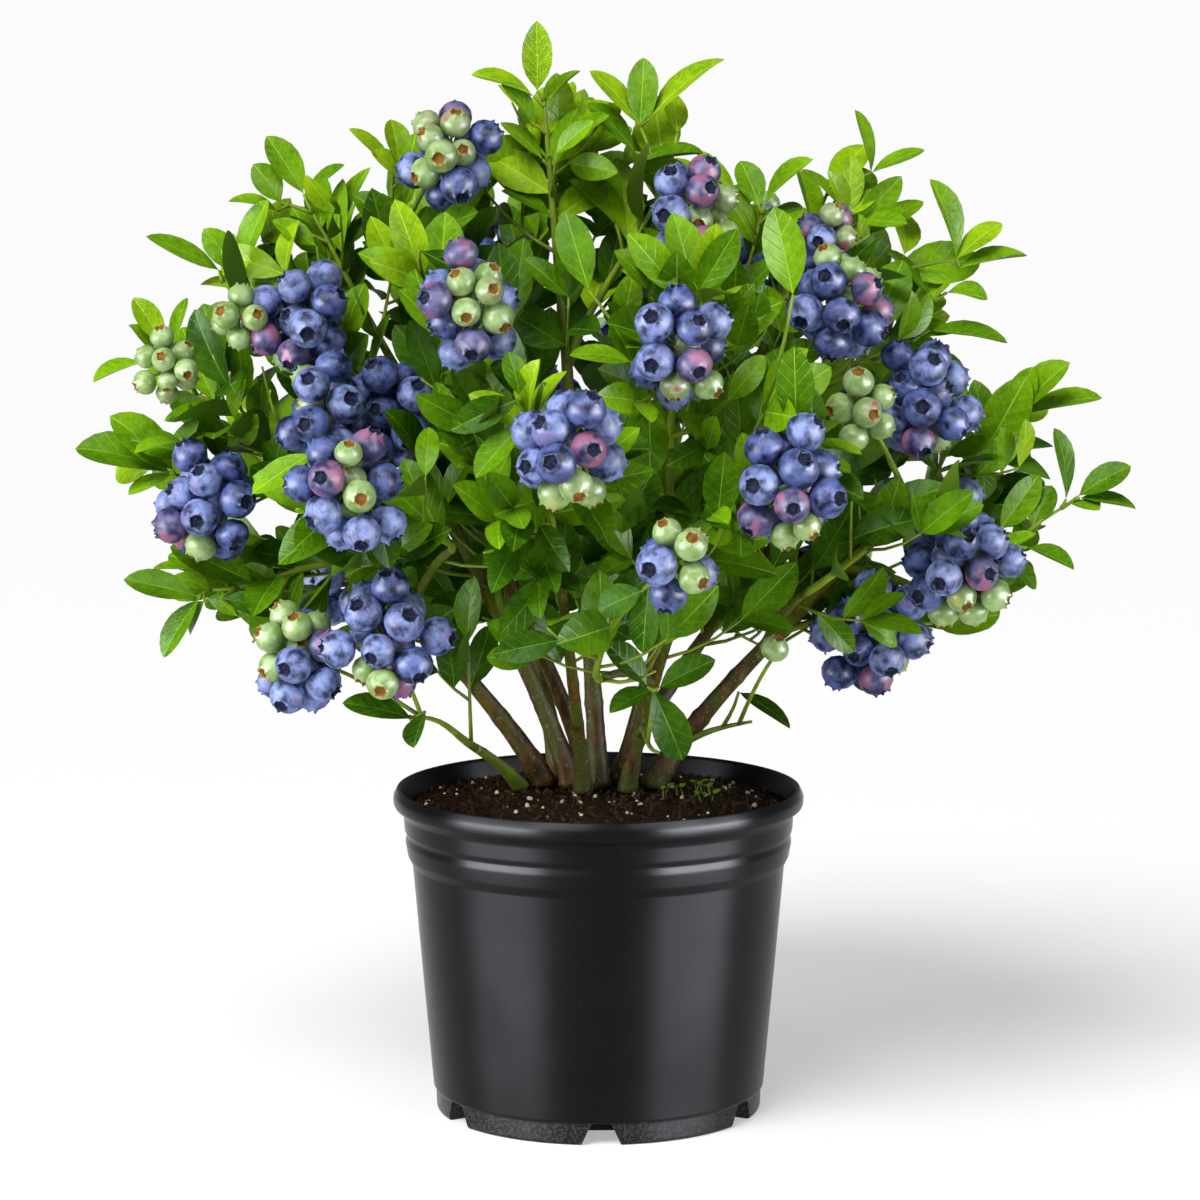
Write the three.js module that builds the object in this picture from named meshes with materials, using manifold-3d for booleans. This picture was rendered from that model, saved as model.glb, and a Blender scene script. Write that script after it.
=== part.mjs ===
// Highbush blueberry in a black nursery pot: pot, soil, canes, boughs and masses of leaves and fruit.
// Millimetres, +Z up, +X right, -Y front. The origin is the centre of the pot's flat underside.

import * as THREE from "three";
import { mergeVertices } from "three/addons/utils/BufferGeometryUtils.js";
import Module from "manifold-3d";

// ---- Driving dimensions ----

const CLEARANCE = 0.3; // between pieces that touch
const UP = new THREE.Vector3(0, 0, 1);

// Pot
const POT_FACETS = 36;
const POT_HEIGHT = 192;
const RIM_RADIUS = 120.5;
const WALL = 2.2;
const FLOOR = 15.5;
const FOOT_RADIUS = 96.2;
const FOOT_HEIGHT = 13.2;
const WALL_FOOT_RADIUS = 97.6;
const WALL_TOP_RADIUS = 109.4;
const BAND_FOOT = 146.6; // where the banded collar steps out
const BAND_GROOVE = 164;
const LIP_FOOT = 178;
const LIP_INNER_RADIUS = 116;
const NOTCHES = 6;
const NOTCH_TURN = -89; // degrees round the pot, first drainage notch
const NOTCH_WIDTH = 22;
const NOTCH_TOP_WIDTH = 16.6;
const NOTCH_DEPTH = 38;

// Soil
const SOIL_CREST = 190;
const SOIL_CREST_RADIUS = 62;
const SOIL_EDGE = 182.5;

// Canes and boughs
const CANE_SIDES = 6;
const CANE_STEPS = 5;
const CANE_LEAN = 1.2; // canes rise first and lean out later: reach grows with height to this power
const FLARE = 2.2; // extra radius at the foot of a cane
const FLARE_HEIGHT = 16;
const CANE_TIP_RADIUS = 2.6;
const BOUGH_SIDES = 5;
const BOUGH_STEPS = 3;
const BOUGH_RADIUS = 2.9;
const BOUGH_TIP_RADIUS = 2.3;
const BOUGH_ARCH = 0.12; // rise of a bough's middle, as a share of its length

// Leaves, twigs and fruit
const STEM_LENGTH = 145;
const STEM_RADIUS = 3.2;
const STEM_BEND = 0.35; // share of its length over which a stem keeps its first and last direction
const TWIG_SHARE = 0.5; // root radius of a twig, as a share of its stem there
const TWIG_TIP_RADIUS = 1.2;
const TWIG_LENGTH = 64;
const TWIGS = 3;
const TWIG_FIRST = 0.15; // share of the stem below the first twig
const TWIG_SPREAD = 0.6; // share of the stem that carries twigs
const TWIG_SHORTENING = 0.3; // a twig at the tip would be shorter by this share
const TWIG_ANGLE = 48; // degrees between a side twig and its stem
const LEAF_LENGTH = 76;
const LEAF_WIDTH = 44;
const LEAF_THICKNESS = 2;
const LEAF_SUNK = 1.2; // from a leaf's root point to the line of its twig
const FACE_OUTWARD = 1.6; // how strongly leaves turn their faces away from the pot's axis
const LEAVES_ON_STEM = 3;
const LEAVES_ON_TWIG = 2;
const BARE_SHARE = 0.22; // of a shoot below its first leaf
const LEAF_ANGLE = 56; // degrees between the lowest leaf and its stem, less towards the tip
const LEAF_TIP_ANGLE = 34;
const GOLDEN_ANGLE = 137.5;
const BERRY_RADIUS = 11.8;
const BERRY_CORNER = new THREE.Vector3(0, 1, (1 + Math.sqrt(5)) / 2).normalize(); // of an icosahedron
const BERRY_PLACES = [[1, 1, -1], [-1, 1, 1], [1, -1, -1], [-1, -1, 1], [-1, -1, -1]]; // corners of a cube
const BUNCH_RADIUS = 20.6; // from the middle berry to those round it
const STALK_RADIUS = 1.6;
const STALK_AT = 0.35; // share of the stem below a bunch's stalk
const TURNS = [0, 120, -120]; // degrees tried before a leaf is made smaller, or a twig skipped
const LEAF_SIZES = [1, 0.6]; // tried before a leaf is skipped
const ROOT_SHARE = 0.6; // mm3 that two leaves may share at their roots
const SPACE_MARGIN = 0.4; // every mass stays this far inside its own space
const LIMB_MARGIN = 0.5; // and this far from any limb
const CUT_MARGIN = CLEARANCE + 0.1; // cut away round the limb that a bough or stem grows from
const SIDE_STEM_RISE = 0.4; // how steeply a stem leaves the side of a cane
const CROWN_FOCUS = 215; // stems point away from here on the pot's axis, unless a rise is given

// The whole crown stays inside a body of revolution: half an ellipse above its widest height and
// half a flatter one below.
const CROWN_REACH = 316;
const CROWN_WIDEST = 385;
const CROWN_RISE = 264;
const CROWN_FALL = 205;

// Canes: the foot on the soil, the radius above the flare, and the mass that the cane leads to.
const CANES = [
  { name: "cane_left", foot: [-32, 13], radius: 6, leads: "leaves_left" },
  { name: "cane_low_left", foot: [-46, 6], radius: 3.2, leads: "leaves_low_left" },
  { name: "cane_upper_left", foot: [-16, 9], radius: 5.8, leads: "leaves_upper_left" },
  { name: "cane_high_left", foot: [-6, 30], radius: 5, leads: "leaves_high_left" },
  { name: "cane_middle", foot: [0, 6], radius: 5.8, leads: "leaves_top" },
  { name: "cane_high_right", foot: [14, 15], radius: 4.6, leads: "leaves_high_right" },
  { name: "cane_right", foot: [32, 5], radius: 6.4, leads: "leaves_right" },
  { name: "cane_low_right", foot: [32, 28], radius: 3.8, leads: "leaves_low_right" },
  { name: "cane_front_left", foot: [-9, -10], radius: 4, leads: "leaves_front" },
  { name: "cane_front_right", foot: [17, -8], radius: 4.2, leads: "leaves_front_right" },
  { name: "cane_back_left", foot: [-24, 38], radius: 5.4, leads: "leaves_back_left" },
  { name: "cane_back_right", foot: [13, 38], radius: 5.4, leads: "leaves_back_right" },
];

// Boughs: the cane each leaves, how far up it, and the mass it leads to.
const BOUGHS = [
  { name: "bough_front_left", on: "cane_left", at: 0.62, leads: "leaves_front_left" },
  { name: "bough_far_left", on: "cane_upper_left", at: 0.66, leads: "leaves_far_left" },
  { name: "bough_top_left", on: "cane_high_left", at: 0.8, leads: "leaves_top_left" },
  { name: "bough_high_far_right", on: "cane_right", at: 0.6, leads: "leaves_high_far_right" },
  { name: "bough_far_right", on: "cane_right", at: 0.82, leads: "leaves_far_right" },
  { name: "bough_front_high", on: "cane_front_right", at: 0.62, leads: "leaves_front_high" },
  { name: "bough_front_low", on: "cane_front_right", at: 0.4, leads: "leaves_front_low" },
  { name: "bough_side_right", on: "cane_right", at: 0.5, leads: "leaves_side_right" },
  { name: "bough_side_left", on: "cane_back_left", at: 0.5, leads: "leaves_side_left" },
  { name: "bough_back_high_left", on: "cane_back_left", at: 0.62, leads: "leaves_back_high_left" },
  { name: "bough_back", on: "cane_back_right", at: 0.6, leads: "leaves_back" },
];

// Masses: the furthest tip and the middles of the bunches, each as degrees round the pot from +X
// (front is -90), reach from the pot's axis, and height. A mass with no limb of its own grows from
// the side of a cane.
const MASSES = [
  { name: "leaves_top", tip: [-164, 37, 643] },
  { name: "leaves_top_right", tip: [-10, 52, 620], on: "cane_middle", at: 0.8 },
  {
    name: "leaves_upper_right", tip: [-11, 105, 555], fruit: [[-48, 81, 529]],
    on: "cane_high_right", at: 0.72,
  },
  { name: "leaves_high_right", tip: [4, 152, 585], fruit: [[-27, 154, 481]] },
  { name: "leaves_high_far_right", tip: [2, 202, 543] },
  { name: "leaves_right", tip: [0, 284, 434], fruit: [[-18, 193, 424]] },
  { name: "leaves_far_right", tip: [-4, 310, 380], fruit: [[-21, 221, 335]] },
  { name: "leaves_low_right", tip: [6, 245, 290], rise: 6, fruit: [[-2, 162, 286]] },
  { name: "leaves_side_right", tip: [-26, 248, 401] },
  { name: "leaves_front_right", tip: [-61, 217, 462], fruit: [[-63, 225, 388]] },
  { name: "leaves_front_high", tip: [-70, 191, 526], fruit: [[-77, 195, 462]] },
  { name: "leaves_front", tip: [-101, 224, 456], fruit: [[-94, 230, 410]] },
  {
    name: "leaves_front_high_left", tip: [-128, 179, 537], fruit: [[-112, 184, 485]],
    on: "cane_front_left", at: 0.72,
  },
  { name: "leaves_top_left", tip: [-172, 136, 576], fruit: [[-155, 94, 562]] },
  { name: "leaves_high_left", tip: [180, 187, 569] },
  { name: "leaves_upper_left", tip: [180, 257, 513], rise: 33, fruit: [[-160, 178, 467]] },
  { name: "leaves_far_left", tip: [180, 290, 448], rise: 24, fruit: [[-167, 250, 443]] },
  { name: "leaves_left", tip: [-176, 304, 394], rise: 17, fruit: [[-165, 231, 364]] },
  { name: "leaves_lower_left", tip: [-167, 275, 316], rise: 2, on: "cane_left", at: 0.8 },
  { name: "leaves_front_left", tip: [-135, 253, 391], rise: 20, fruit: [[-125, 233, 387]] },
  { name: "leaves_low_left", tip: [-131, 211, 256], rise: 4, fruit: [[-142, 211, 289], [-126, 197, 301]] },
  { name: "leaves_front_low", tip: [-88, 240, 340], fruit: [[-80, 244, 355]] },
  { name: "leaves_low_front", tip: [-77, 195, 243], on: "cane_front_right", at: 0.2 },
  { name: "leaves_low_inner_right", tip: [-12, 138, 242], on: "cane_right", at: 0.13 },
  { name: "leaves_inner_left", tip: [-142, 110, 440], on: "cane_upper_left", at: 0.4 },
  { name: "leaves_inner_middle", tip: [-80, 90, 400], on: "cane_middle", at: 0.3 },
  { name: "leaves_inner_right", tip: [25, 90, 400], on: "cane_middle", at: 0.4 },
  { name: "leaves_back_right", tip: [40, 270, 430], fruit: [[50, 225, 400]] },
  { name: "leaves_back", tip: [75, 270, 470], fruit: [[85, 230, 430]] },
  { name: "leaves_back_left", tip: [113, 264, 446], fruit: [[102, 220, 402]] },
  { name: "leaves_side_left", tip: [148, 270, 420], fruit: [[137, 225, 380]] },
  {
    name: "leaves_back_high_right", tip: [60, 150, 560], fruit: [[50, 150, 500]],
    on: "cane_back_right", at: 0.75,
  },
  { name: "leaves_back_high_left", tip: [125, 160, 550], fruit: [[118, 150, 500]] },
  {
    name: "leaves_low_back_right", tip: [55, 235, 300], fruit: [[40, 190, 300]],
    on: "cane_back_right", at: 0.45,
  },
  {
    name: "leaves_low_back_left", tip: [128, 235, 300], fruit: [[142, 190, 300]],
    on: "cane_back_left", at: 0.45,
  },
];

// ---- Materials ----

const finish = (color, roughness) => new THREE.MeshStandardMaterial({ color, roughness, metalness: 0 });
const POT_PLASTIC = finish(0x17181a, 0.45);
const SOIL_MIX = finish(0x3a2a20, 0.95);
const BARK = finish(0x6b5436, 0.8);
const YOUNG_BARK = finish(0x7d8a3c, 0.7);
const FOLIAGE = finish(0x4f8a2c, 0.5);

// ---- Small helpers ----

const radians = THREE.MathUtils.degToRad;

function polar([turn, reach, height]) {
  const angle = radians(turn);
  return new THREE.Vector3(reach * Math.cos(angle), reach * Math.sin(angle), height);
}

// A repeatable stream of numbers from 0 to 1.
function seededRandom(seed) {
  let state = seed >>> 0;
  return () => {
    state = (state + 0x6d2b79f5) >>> 0;
    let mixed = Math.imul(state ^ (state >>> 15), state | 1);
    mixed ^= mixed + Math.imul(mixed ^ (mixed >>> 7), mixed | 61);
    return ((mixed ^ (mixed >>> 14)) >>> 0) / 4294967296;
  };
}

// The frame that a tube and what grows on it share at a point of a curve: along it, square to its
// upright plane, and across.
function frameAt(curve, t) {
  const axis = curve.getTangentAt(t);
  const side = curve.getPoint(1).sub(curve.getPoint(0)).cross(UP);
  side.addScaledVector(axis, -axis.dot(side)).normalize();
  return { point: curve.getPointAt(t), axis, side, across: axis.clone().cross(side) };
}

// A direction that leaves a curve at an angle, turned round the curve.
function branchDirection({ axis, side, across }, angle, turn) {
  const outward = side.clone().multiplyScalar(Math.cos(radians(turn)));
  outward.addScaledVector(across, Math.sin(radians(turn)));
  const along = axis.clone().multiplyScalar(Math.cos(radians(angle)));
  return along.addScaledVector(outward, Math.sin(radians(angle)));
}

// The nearest turn that meets the middle of a flat of a three-sided twig.
function turnToFlat(turn) {
  return 90 + 120 * Math.round((turn - 90) / 120);
}

// ---- Solids ----

const wasm = await Module();
wasm.setup();

function solidOf(geometry) {
  const bare = geometry.clone();
  bare.deleteAttribute("normal");
  bare.deleteAttribute("uv");
  const merged = mergeVertices(bare, 1e-4);
  const corners = [];
  for (let i = 0; i < merged.index.count; i += 3) {
    const [a, b, c] = [0, 1, 2].map((k) => merged.index.getX(i + k));
    if (a !== b && b !== c && c !== a) corners.push(a, b, c);
  }
  return new wasm.Manifold(new wasm.Mesh({
    numProp: 3,
    vertProperties: new Float32Array(merged.attributes.position.array),
    triVerts: new Uint32Array(corners),
  }));
}

function geometryOf(solid) {
  const mesh = solid.getMesh();
  const geometry = new THREE.BufferGeometry();
  geometry.setAttribute("position", new THREE.BufferAttribute(mesh.vertProperties, 3));
  geometry.setIndex(new THREE.BufferAttribute(mesh.triVerts, 1));
  geometry.computeVertexNormals();
  return geometry;
}

// Joins solids into one closed body. Sealed hollows are filled and loose scraps dropped, because
// only the largest outer surface is kept.
function fuse(solids) {
  const bodies = wasm.Manifold.union(solids).decompose();
  return bodies.reduce((best, body) => (body.volume() > best.volume() ? body : best));
}

const plant = new THREE.Group();

function addNode(name, geometry, material) {
  const mesh = new THREE.Mesh(geometry, material);
  mesh.name = name;
  plant.add(mesh);
}

// ---- Pot and soil ----

function turned(profile) {
  const corners = profile.map(([r, z]) => new THREE.Vector2(r, z));
  return new THREE.LatheGeometry(corners, POT_FACETS).rotateX(Math.PI / 2);
}

function drainageNotch(turn) {
  const half = NOTCH_WIDTH / 2;
  const topHalf = NOTCH_TOP_WIDTH / 2;
  const outline = new THREE.Shape();
  outline.moveTo(-half - 1, -1);
  outline.lineTo(half + 1, -1);
  outline.lineTo(topHalf, FOOT_HEIGHT - 2);
  outline.quadraticCurveTo(topHalf - 0.5, FOOT_HEIGHT, topHalf - 3, FOOT_HEIGHT);
  outline.lineTo(3 - topHalf, FOOT_HEIGHT);
  outline.quadraticCurveTo(0.5 - topHalf, FOOT_HEIGHT, -topHalf, FOOT_HEIGHT - 2);
  const depth = { depth: NOTCH_DEPTH, bevelEnabled: false, curveSegments: 2 };
  const cut = new THREE.ExtrudeGeometry(outline, depth);
  cut.rotateX(Math.PI / 2);
  cut.translate(0, NOTCH_DEPTH - FOOT_RADIUS - 3, 0);
  cut.rotateZ(radians(turn + 90));
  return solidOf(cut);
}

function makePot() {
  const shell = turned([
    [0, 0],
    [FOOT_RADIUS - 2, 0],
    [FOOT_RADIUS - 0.4, 2],
    [FOOT_RADIUS, FOOT_HEIGHT],
    [WALL_FOOT_RADIUS, FOOT_HEIGHT + 0.8],
    [WALL_TOP_RADIUS, BAND_FOOT],
    [WALL_TOP_RADIUS + 2.6, BAND_FOOT + 5],
    [WALL_TOP_RADIUS + 4.1, BAND_GROOVE - 4],
    [WALL_TOP_RADIUS + 3.4, BAND_GROOVE],
    [WALL_TOP_RADIUS + 5.2, LIP_FOOT - 2],
    [LIP_INNER_RADIUS, LIP_FOOT],
    [RIM_RADIUS, LIP_FOOT + 5],
    [RIM_RADIUS, LIP_FOOT + 9],
    [RIM_RADIUS - 2.5, POT_HEIGHT],
    [LIP_INNER_RADIUS, POT_HEIGHT - 1.5],
    [WALL_TOP_RADIUS + 1.4, POT_HEIGHT - 12],
    [WALL_TOP_RADIUS - WALL, BAND_FOOT - 2.5],
    [WALL_FOOT_RADIUS - WALL, FLOOR],
    [0, FLOOR],
  ]);
  let pot = solidOf(shell);
  for (let i = 0; i < NOTCHES; i += 1) pot = pot.subtract(drainageNotch(NOTCH_TURN + (i * 360) / NOTCHES));
  return pot;
}

function makeSoil() {
  return turned([
    [0, FLOOR + CLEARANCE],
    [WALL_FOOT_RADIUS - WALL - CLEARANCE, FLOOR + CLEARANCE],
    [WALL_TOP_RADIUS - WALL - CLEARANCE, BAND_FOOT - 2.5],
    [WALL_TOP_RADIUS + 1, POT_HEIGHT - 12],
    [WALL_TOP_RADIUS + 0.8, SOIL_EDGE],
    [SOIL_CREST_RADIUS, SOIL_CREST],
    [0, SOIL_CREST],
  ]);
}

// ---- Courses of the masses ----

function headingOf(mass) {
  const focus = new THREE.Vector3(0, 0, CROWN_FOCUS);
  if (mass.rise === undefined) return mass.end.clone().sub(focus).normalize();
  return polar([mass.tip[0], Math.cos(radians(mass.rise)), Math.sin(radians(mass.rise))]);
}

for (const mass of MASSES) {
  mass.end = polar(mass.tip);
  mass.heading = headingOf(mass);
  mass.start = mass.end.clone().addScaledVector(mass.heading, -STEM_LENGTH);
  mass.bunches = (mass.fruit ?? []).map(polar);
}

// ---- Limbs ----

class CaneCurve extends THREE.Curve {
  constructor(foot, head) {
    super();
    this.foot = foot;
    this.head = head;
  }

  getPoint(t) {
    const lean = t ** CANE_LEAN;
    const { foot, head } = this;
    return new THREE.Vector3(
      foot.x + (head.x - foot.x) * lean,
      foot.y + (head.y - foot.y) * lean,
      foot.z + (head.z - foot.z) * t,
    );
  }
}

// A closed tapering tube along a curve, made from a cylinder whose height runs along the curve.
function taperedTube(curve, radiusAt, sides, steps) {
  const tube = new THREE.CylinderGeometry(1, 1, 1, sides, steps);
  const { position } = tube.attributes;
  for (let i = 0; i < position.count; i += 1) {
    const t = position.getY(i) + 0.5;
    const radius = radiusAt(t);
    const { point, side, across } = frameAt(curve, t);
    point.addScaledVector(side, position.getX(i) * radius);
    point.addScaledVector(across, -position.getZ(i) * radius);
    position.setXYZ(i, point.x, point.y, point.z);
  }
  return tube;
}

// Slides the lowest ring of a cane down or up its own slope to a level cut.
function cutLevel(tube, curve, height) {
  const { position } = tube.attributes;
  const slope = curve.getTangentAt(0);
  const foot = curve.getPointAt(0);
  for (let i = 0; i < position.count; i += 1) {
    const point = new THREE.Vector3().fromBufferAttribute(position, i);
    const along = point.clone().sub(foot).dot(slope);
    if (Math.abs(along) < 1e-3) {
      point.addScaledVector(slope, (height - point.z) / slope.z);
      position.setXYZ(i, point.x, point.y, point.z);
    }
  }
}

const massNamed = (name) => MASSES.find((mass) => mass.name === name);
const limbs = {};

// The space a limb takes up with a margin round it, with the limb's own sides and steps.
function fattened({ curve, radiusAt, sides, steps }, margin) {
  return solidOf(taperedTube(curve, (t) => radiusAt(t) + margin, sides, steps));
}

for (const cane of CANES) {
  const foot = new THREE.Vector3(...cane.foot, SOIL_CREST + CLEARANCE);
  const curve = new CaneCurve(foot, massNamed(cane.leads).start);
  const length = curve.getLength();
  const radiusAt = (t) => THREE.MathUtils.lerp(cane.radius, CANE_TIP_RADIUS, t ** 0.8)
    + FLARE * Math.exp((-t * length) / FLARE_HEIGHT);
  const tube = taperedTube(curve, radiusAt, CANE_SIDES, CANE_STEPS);
  cutLevel(tube, curve, foot.z);
  limbs[cane.name] = { curve, radiusAt, sides: CANE_SIDES, steps: CANE_STEPS, solid: solidOf(tube) };
  massNamed(cane.leads).slope = curve.getTangentAt(1);
}

function archedCurve(from, to) {
  const middle = from.clone().add(to).multiplyScalar(0.5);
  middle.addScaledVector(UP, from.distanceTo(to) * BOUGH_ARCH);
  return new THREE.QuadraticBezierCurve3(from, middle, to);
}

for (const bough of BOUGHS) {
  const cane = limbs[bough.on];
  const curve = archedCurve(cane.curve.getPointAt(bough.at), massNamed(bough.leads).start);
  const radiusAt = (t) => THREE.MathUtils.lerp(BOUGH_RADIUS, BOUGH_TIP_RADIUS, t);
  const whole = solidOf(taperedTube(curve, radiusAt, BOUGH_SIDES, BOUGH_STEPS));
  const solid = fuse([whole.subtract(fattened(cane, CUT_MARGIN))]);
  limbs[bough.name] = { curve, radiusAt, sides: BOUGH_SIDES, steps: BOUGH_STEPS, solid };
  massNamed(bough.leads).slope = curve.getTangentAt(1);
}

const limbSpace = wasm.Manifold.union(Object.values(limbs).map((limb) => fattened(limb, LIMB_MARGIN)));

// A mass with no limb of its own starts inside the cane that holds it, and is cut clear of it later.
for (const mass of MASSES.filter(({ on }) => on)) {
  mass.start = limbs[mass.on].curve.getPointAt(mass.at);
  mass.slope = mass.end.clone().sub(mass.start).normalize().addScaledVector(UP, SIDE_STEM_RISE).normalize();
}

// ---- Spaces of the masses ----

// The nearest points of two convex forms, each given by its corners. They close in step by step.
function nearestPoints(cornersA, cornersB) {
  const a = cornersA[0].clone();
  const b = cornersB[0].clone();
  for (let round = 0; round < 200; round += 1) {
    const apart = a.clone().sub(b);
    const nextA = cornersA.reduce((best, corner) => (corner.dot(apart) < best.dot(apart) ? corner : best));
    const nextB = cornersB.reduce((best, corner) => (corner.dot(apart) > best.dot(apart) ? corner : best));
    const change = nextA.clone().sub(nextB).sub(apart);
    const share = THREE.MathUtils.clamp(-apart.dot(change) / Math.max(change.lengthSq(), 1e-9), 0, 1);
    a.lerp(nextA, share);
    b.lerp(nextB, share);
  }
  return [a, b];
}

// The wall between two masses stands halfway between the nearest points of their cores: the stem
// from start to tip, and the bunches. A point is in a mass's space when it is behind all its walls.
function coreOf(mass) {
  const size = BUNCH_RADIUS + BERRY_RADIUS * 0.8;
  const around = [[1, 0, 0], [-1, 0, 0], [0, 1, 0], [0, -1, 0], [0, 0, 1], [0, 0, -1]];
  const bunchEnds = mass.bunches.flatMap((bunch) => (
    around.map((side) => bunch.clone().addScaledVector(new THREE.Vector3(...side), size))
  ));
  return [mass.start, mass.end, ...bunchEnds];
}

for (const mass of MASSES) {
  mass.walls = MASSES.filter((other) => other !== mass).map((other) => {
    const [own, far] = nearestPoints(coreOf(mass), coreOf(other));
    const outward = far.clone().sub(own).normalize();
    return { outward, reach: outward.dot(own.add(far).multiplyScalar(0.5)) };
  });
}

function inSpace(mass, point, margin) {
  if (point.z < SOIL_CREST + margin) return false;
  const height = (point.z - CROWN_WIDEST) / (point.z > CROWN_WIDEST ? CROWN_RISE : CROWN_FALL);
  if (Math.hypot(point.x / CROWN_REACH, point.y / CROWN_REACH, height) > 1) return false;
  return mass.walls.every((wall) => wall.outward.dot(point) < wall.reach - margin);
}

function cornersOf(geometry) {
  const { position } = geometry.attributes;
  const corners = [];
  for (let i = 0; i < position.count; i += 1) corners.push(new THREE.Vector3().fromBufferAttribute(position, i));
  return corners;
}

// ---- Twigs, leaves and fruit ----

// Twigs, leaves and berries are kept only where they stay in the space of their mass, clear of limbs
// and clear of what the mass already has, but for the little that roots share.
function fits(mass, geometry, carrier) {
  if (!cornersOf(geometry).every((corner) => inSpace(mass, corner, SPACE_MARGIN))) return null;
  const solid = solidOf(geometry);
  if (!limbSpace.intersect(solid).isEmpty()) return null;
  const meets = mass.kept.some((other) => other !== carrier && other.intersect(solid).volume() > ROOT_SHARE);
  return meets ? null : solid;
}

function leafShape(root, direction, face, length, width) {
  const leaf = new THREE.OctahedronGeometry(1, 0);
  leaf.scale(length / 2, width / 2, LEAF_THICKNESS / 2);
  leaf.translate(length / 2 - LEAF_SUNK, 0, 0);
  const across = new THREE.Vector3().crossVectors(face, direction).normalize();
  const normal = new THREE.Vector3().crossVectors(direction, across);
  leaf.applyMatrix4(new THREE.Matrix4().makeBasis(direction, across, normal).setPosition(root));
  return leaf;
}

function straightTwig(from, to, radius, tipRadius) {
  return taperedTube(new THREE.LineCurve3(from, to), (t) => THREE.MathUtils.lerp(radius, tipRadius, t), 3, 1);
}

// A leaf that doesn't fit is turned on round its shoot, then made smaller, and in the end skipped.
// The leaf at the end of a shoot keeps its length and is only made narrower.
function addLeaf(mass, shoot, t, turn, size, random) {
  const frame = frameAt(shoot.curve, t);
  const atEnd = t === 1;
  const angle = atEnd ? 0 : THREE.MathUtils.lerp(LEAF_ANGLE, LEAF_TIP_ANGLE, t) + 10 * (random() - 0.5);
  const length = atEnd ? size : size * (0.9 + 0.2 * random());
  const outward = new THREE.Vector3(frame.point.x, frame.point.y, 0).normalize();
  const faceTurn = 360 * random();
  for (const share of LEAF_SIZES) {
    for (const extra of TURNS) {
      const direction = branchDirection(frame, angle, turnToFlat(turn + extra));
      const face = branchDirection(frame, 90, faceTurn + extra).addScaledVector(outward, FACE_OUTWARD);
      face.addScaledVector(atEnd ? UP : frame.axis, 0.5);
      const ownLength = atEnd ? length : length * share;
      const shape = leafShape(frame.point, direction, face, ownLength, LEAF_WIDTH * share);
      const leaf = fits(mass, shape, shoot.wood);
      if (leaf) {
        mass.kept.push(leaf);
        return;
      }
    }
  }
}

// Leaves stand round a shoot at the golden angle, closer to its line towards the tip, and one at its
// end.
function dressShoot(mass, shoot, count, size, random, firstTurn) {
  for (let k = count; k >= 0; k -= 1) {
    const t = k === count ? 1 : BARE_SHARE + (0.72 * k) / count;
    addLeaf(mass, shoot, t, firstTurn + k * GOLDEN_ANGLE, size, random);
  }
}

// A stalk from the stem to a middle berry, with the others on it. They stand at the corners of a cube
// on end, each with a corner of its own sunk into a flat of the middle berry.
function growBunch(mass, stem, middle, random) {
  const root = stem.curve.getPointAt(STALK_AT);
  const stalk = fits(mass, straightTwig(root, middle, STALK_RADIUS, STALK_RADIUS), stem.wood);
  if (!stalk) return;
  const upright = new THREE.Quaternion().setFromUnitVectors(new THREE.Vector3(1, 1, 1).normalize(), UP);
  upright.premultiply(new THREE.Quaternion().setFromAxisAngle(UP, radians(360 * random())));
  const middleBerry = new THREE.IcosahedronGeometry(BERRY_RADIUS, 0).applyQuaternion(upright);
  const heart = fits(mass, middleBerry.translate(...middle.toArray()), stalk);
  if (!heart) return;
  mass.kept.push(stalk, heart);
  for (const corner of BERRY_PLACES) {
    const outward = new THREE.Vector3(...corner).normalize().applyQuaternion(upright);
    const inward = new THREE.Quaternion().setFromUnitVectors(BERRY_CORNER, outward.clone().negate());
    const centre = middle.clone().addScaledVector(outward, BUNCH_RADIUS);
    const berry = new THREE.IcosahedronGeometry(BERRY_RADIUS, 0).applyQuaternion(inward);
    const kept = fits(mass, berry.translate(...centre.toArray()), heart);
    if (kept) mass.kept.push(kept);
  }
}

function growTwig(mass, stem, t, turn, random) {
  const frame = frameAt(stem.curve, t);
  const length = TWIG_LENGTH * (0.85 + 0.3 * random()) * (1 - TWIG_SHORTENING * t);
  const firstTurn = 360 * random();
  for (const extra of TURNS) {
    const direction = branchDirection(frame, TWIG_ANGLE, turnToFlat(turn + extra));
    const end = frame.point.clone().addScaledVector(direction, length);
    const rootRadius = Math.max(TWIG_SHARE * stem.radiusAt(t), TWIG_TIP_RADIUS);
    const wood = fits(mass, straightTwig(frame.point, end, rootRadius, TWIG_TIP_RADIUS), stem.wood);
    if (wood) {
      mass.kept.push(wood);
      const twig = { curve: new THREE.LineCurve3(frame.point, end), wood };
      dressShoot(mass, twig, LEAVES_ON_TWIG, LEAF_LENGTH * 0.92, random, firstTurn);
      return;
    }
  }
}

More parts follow.
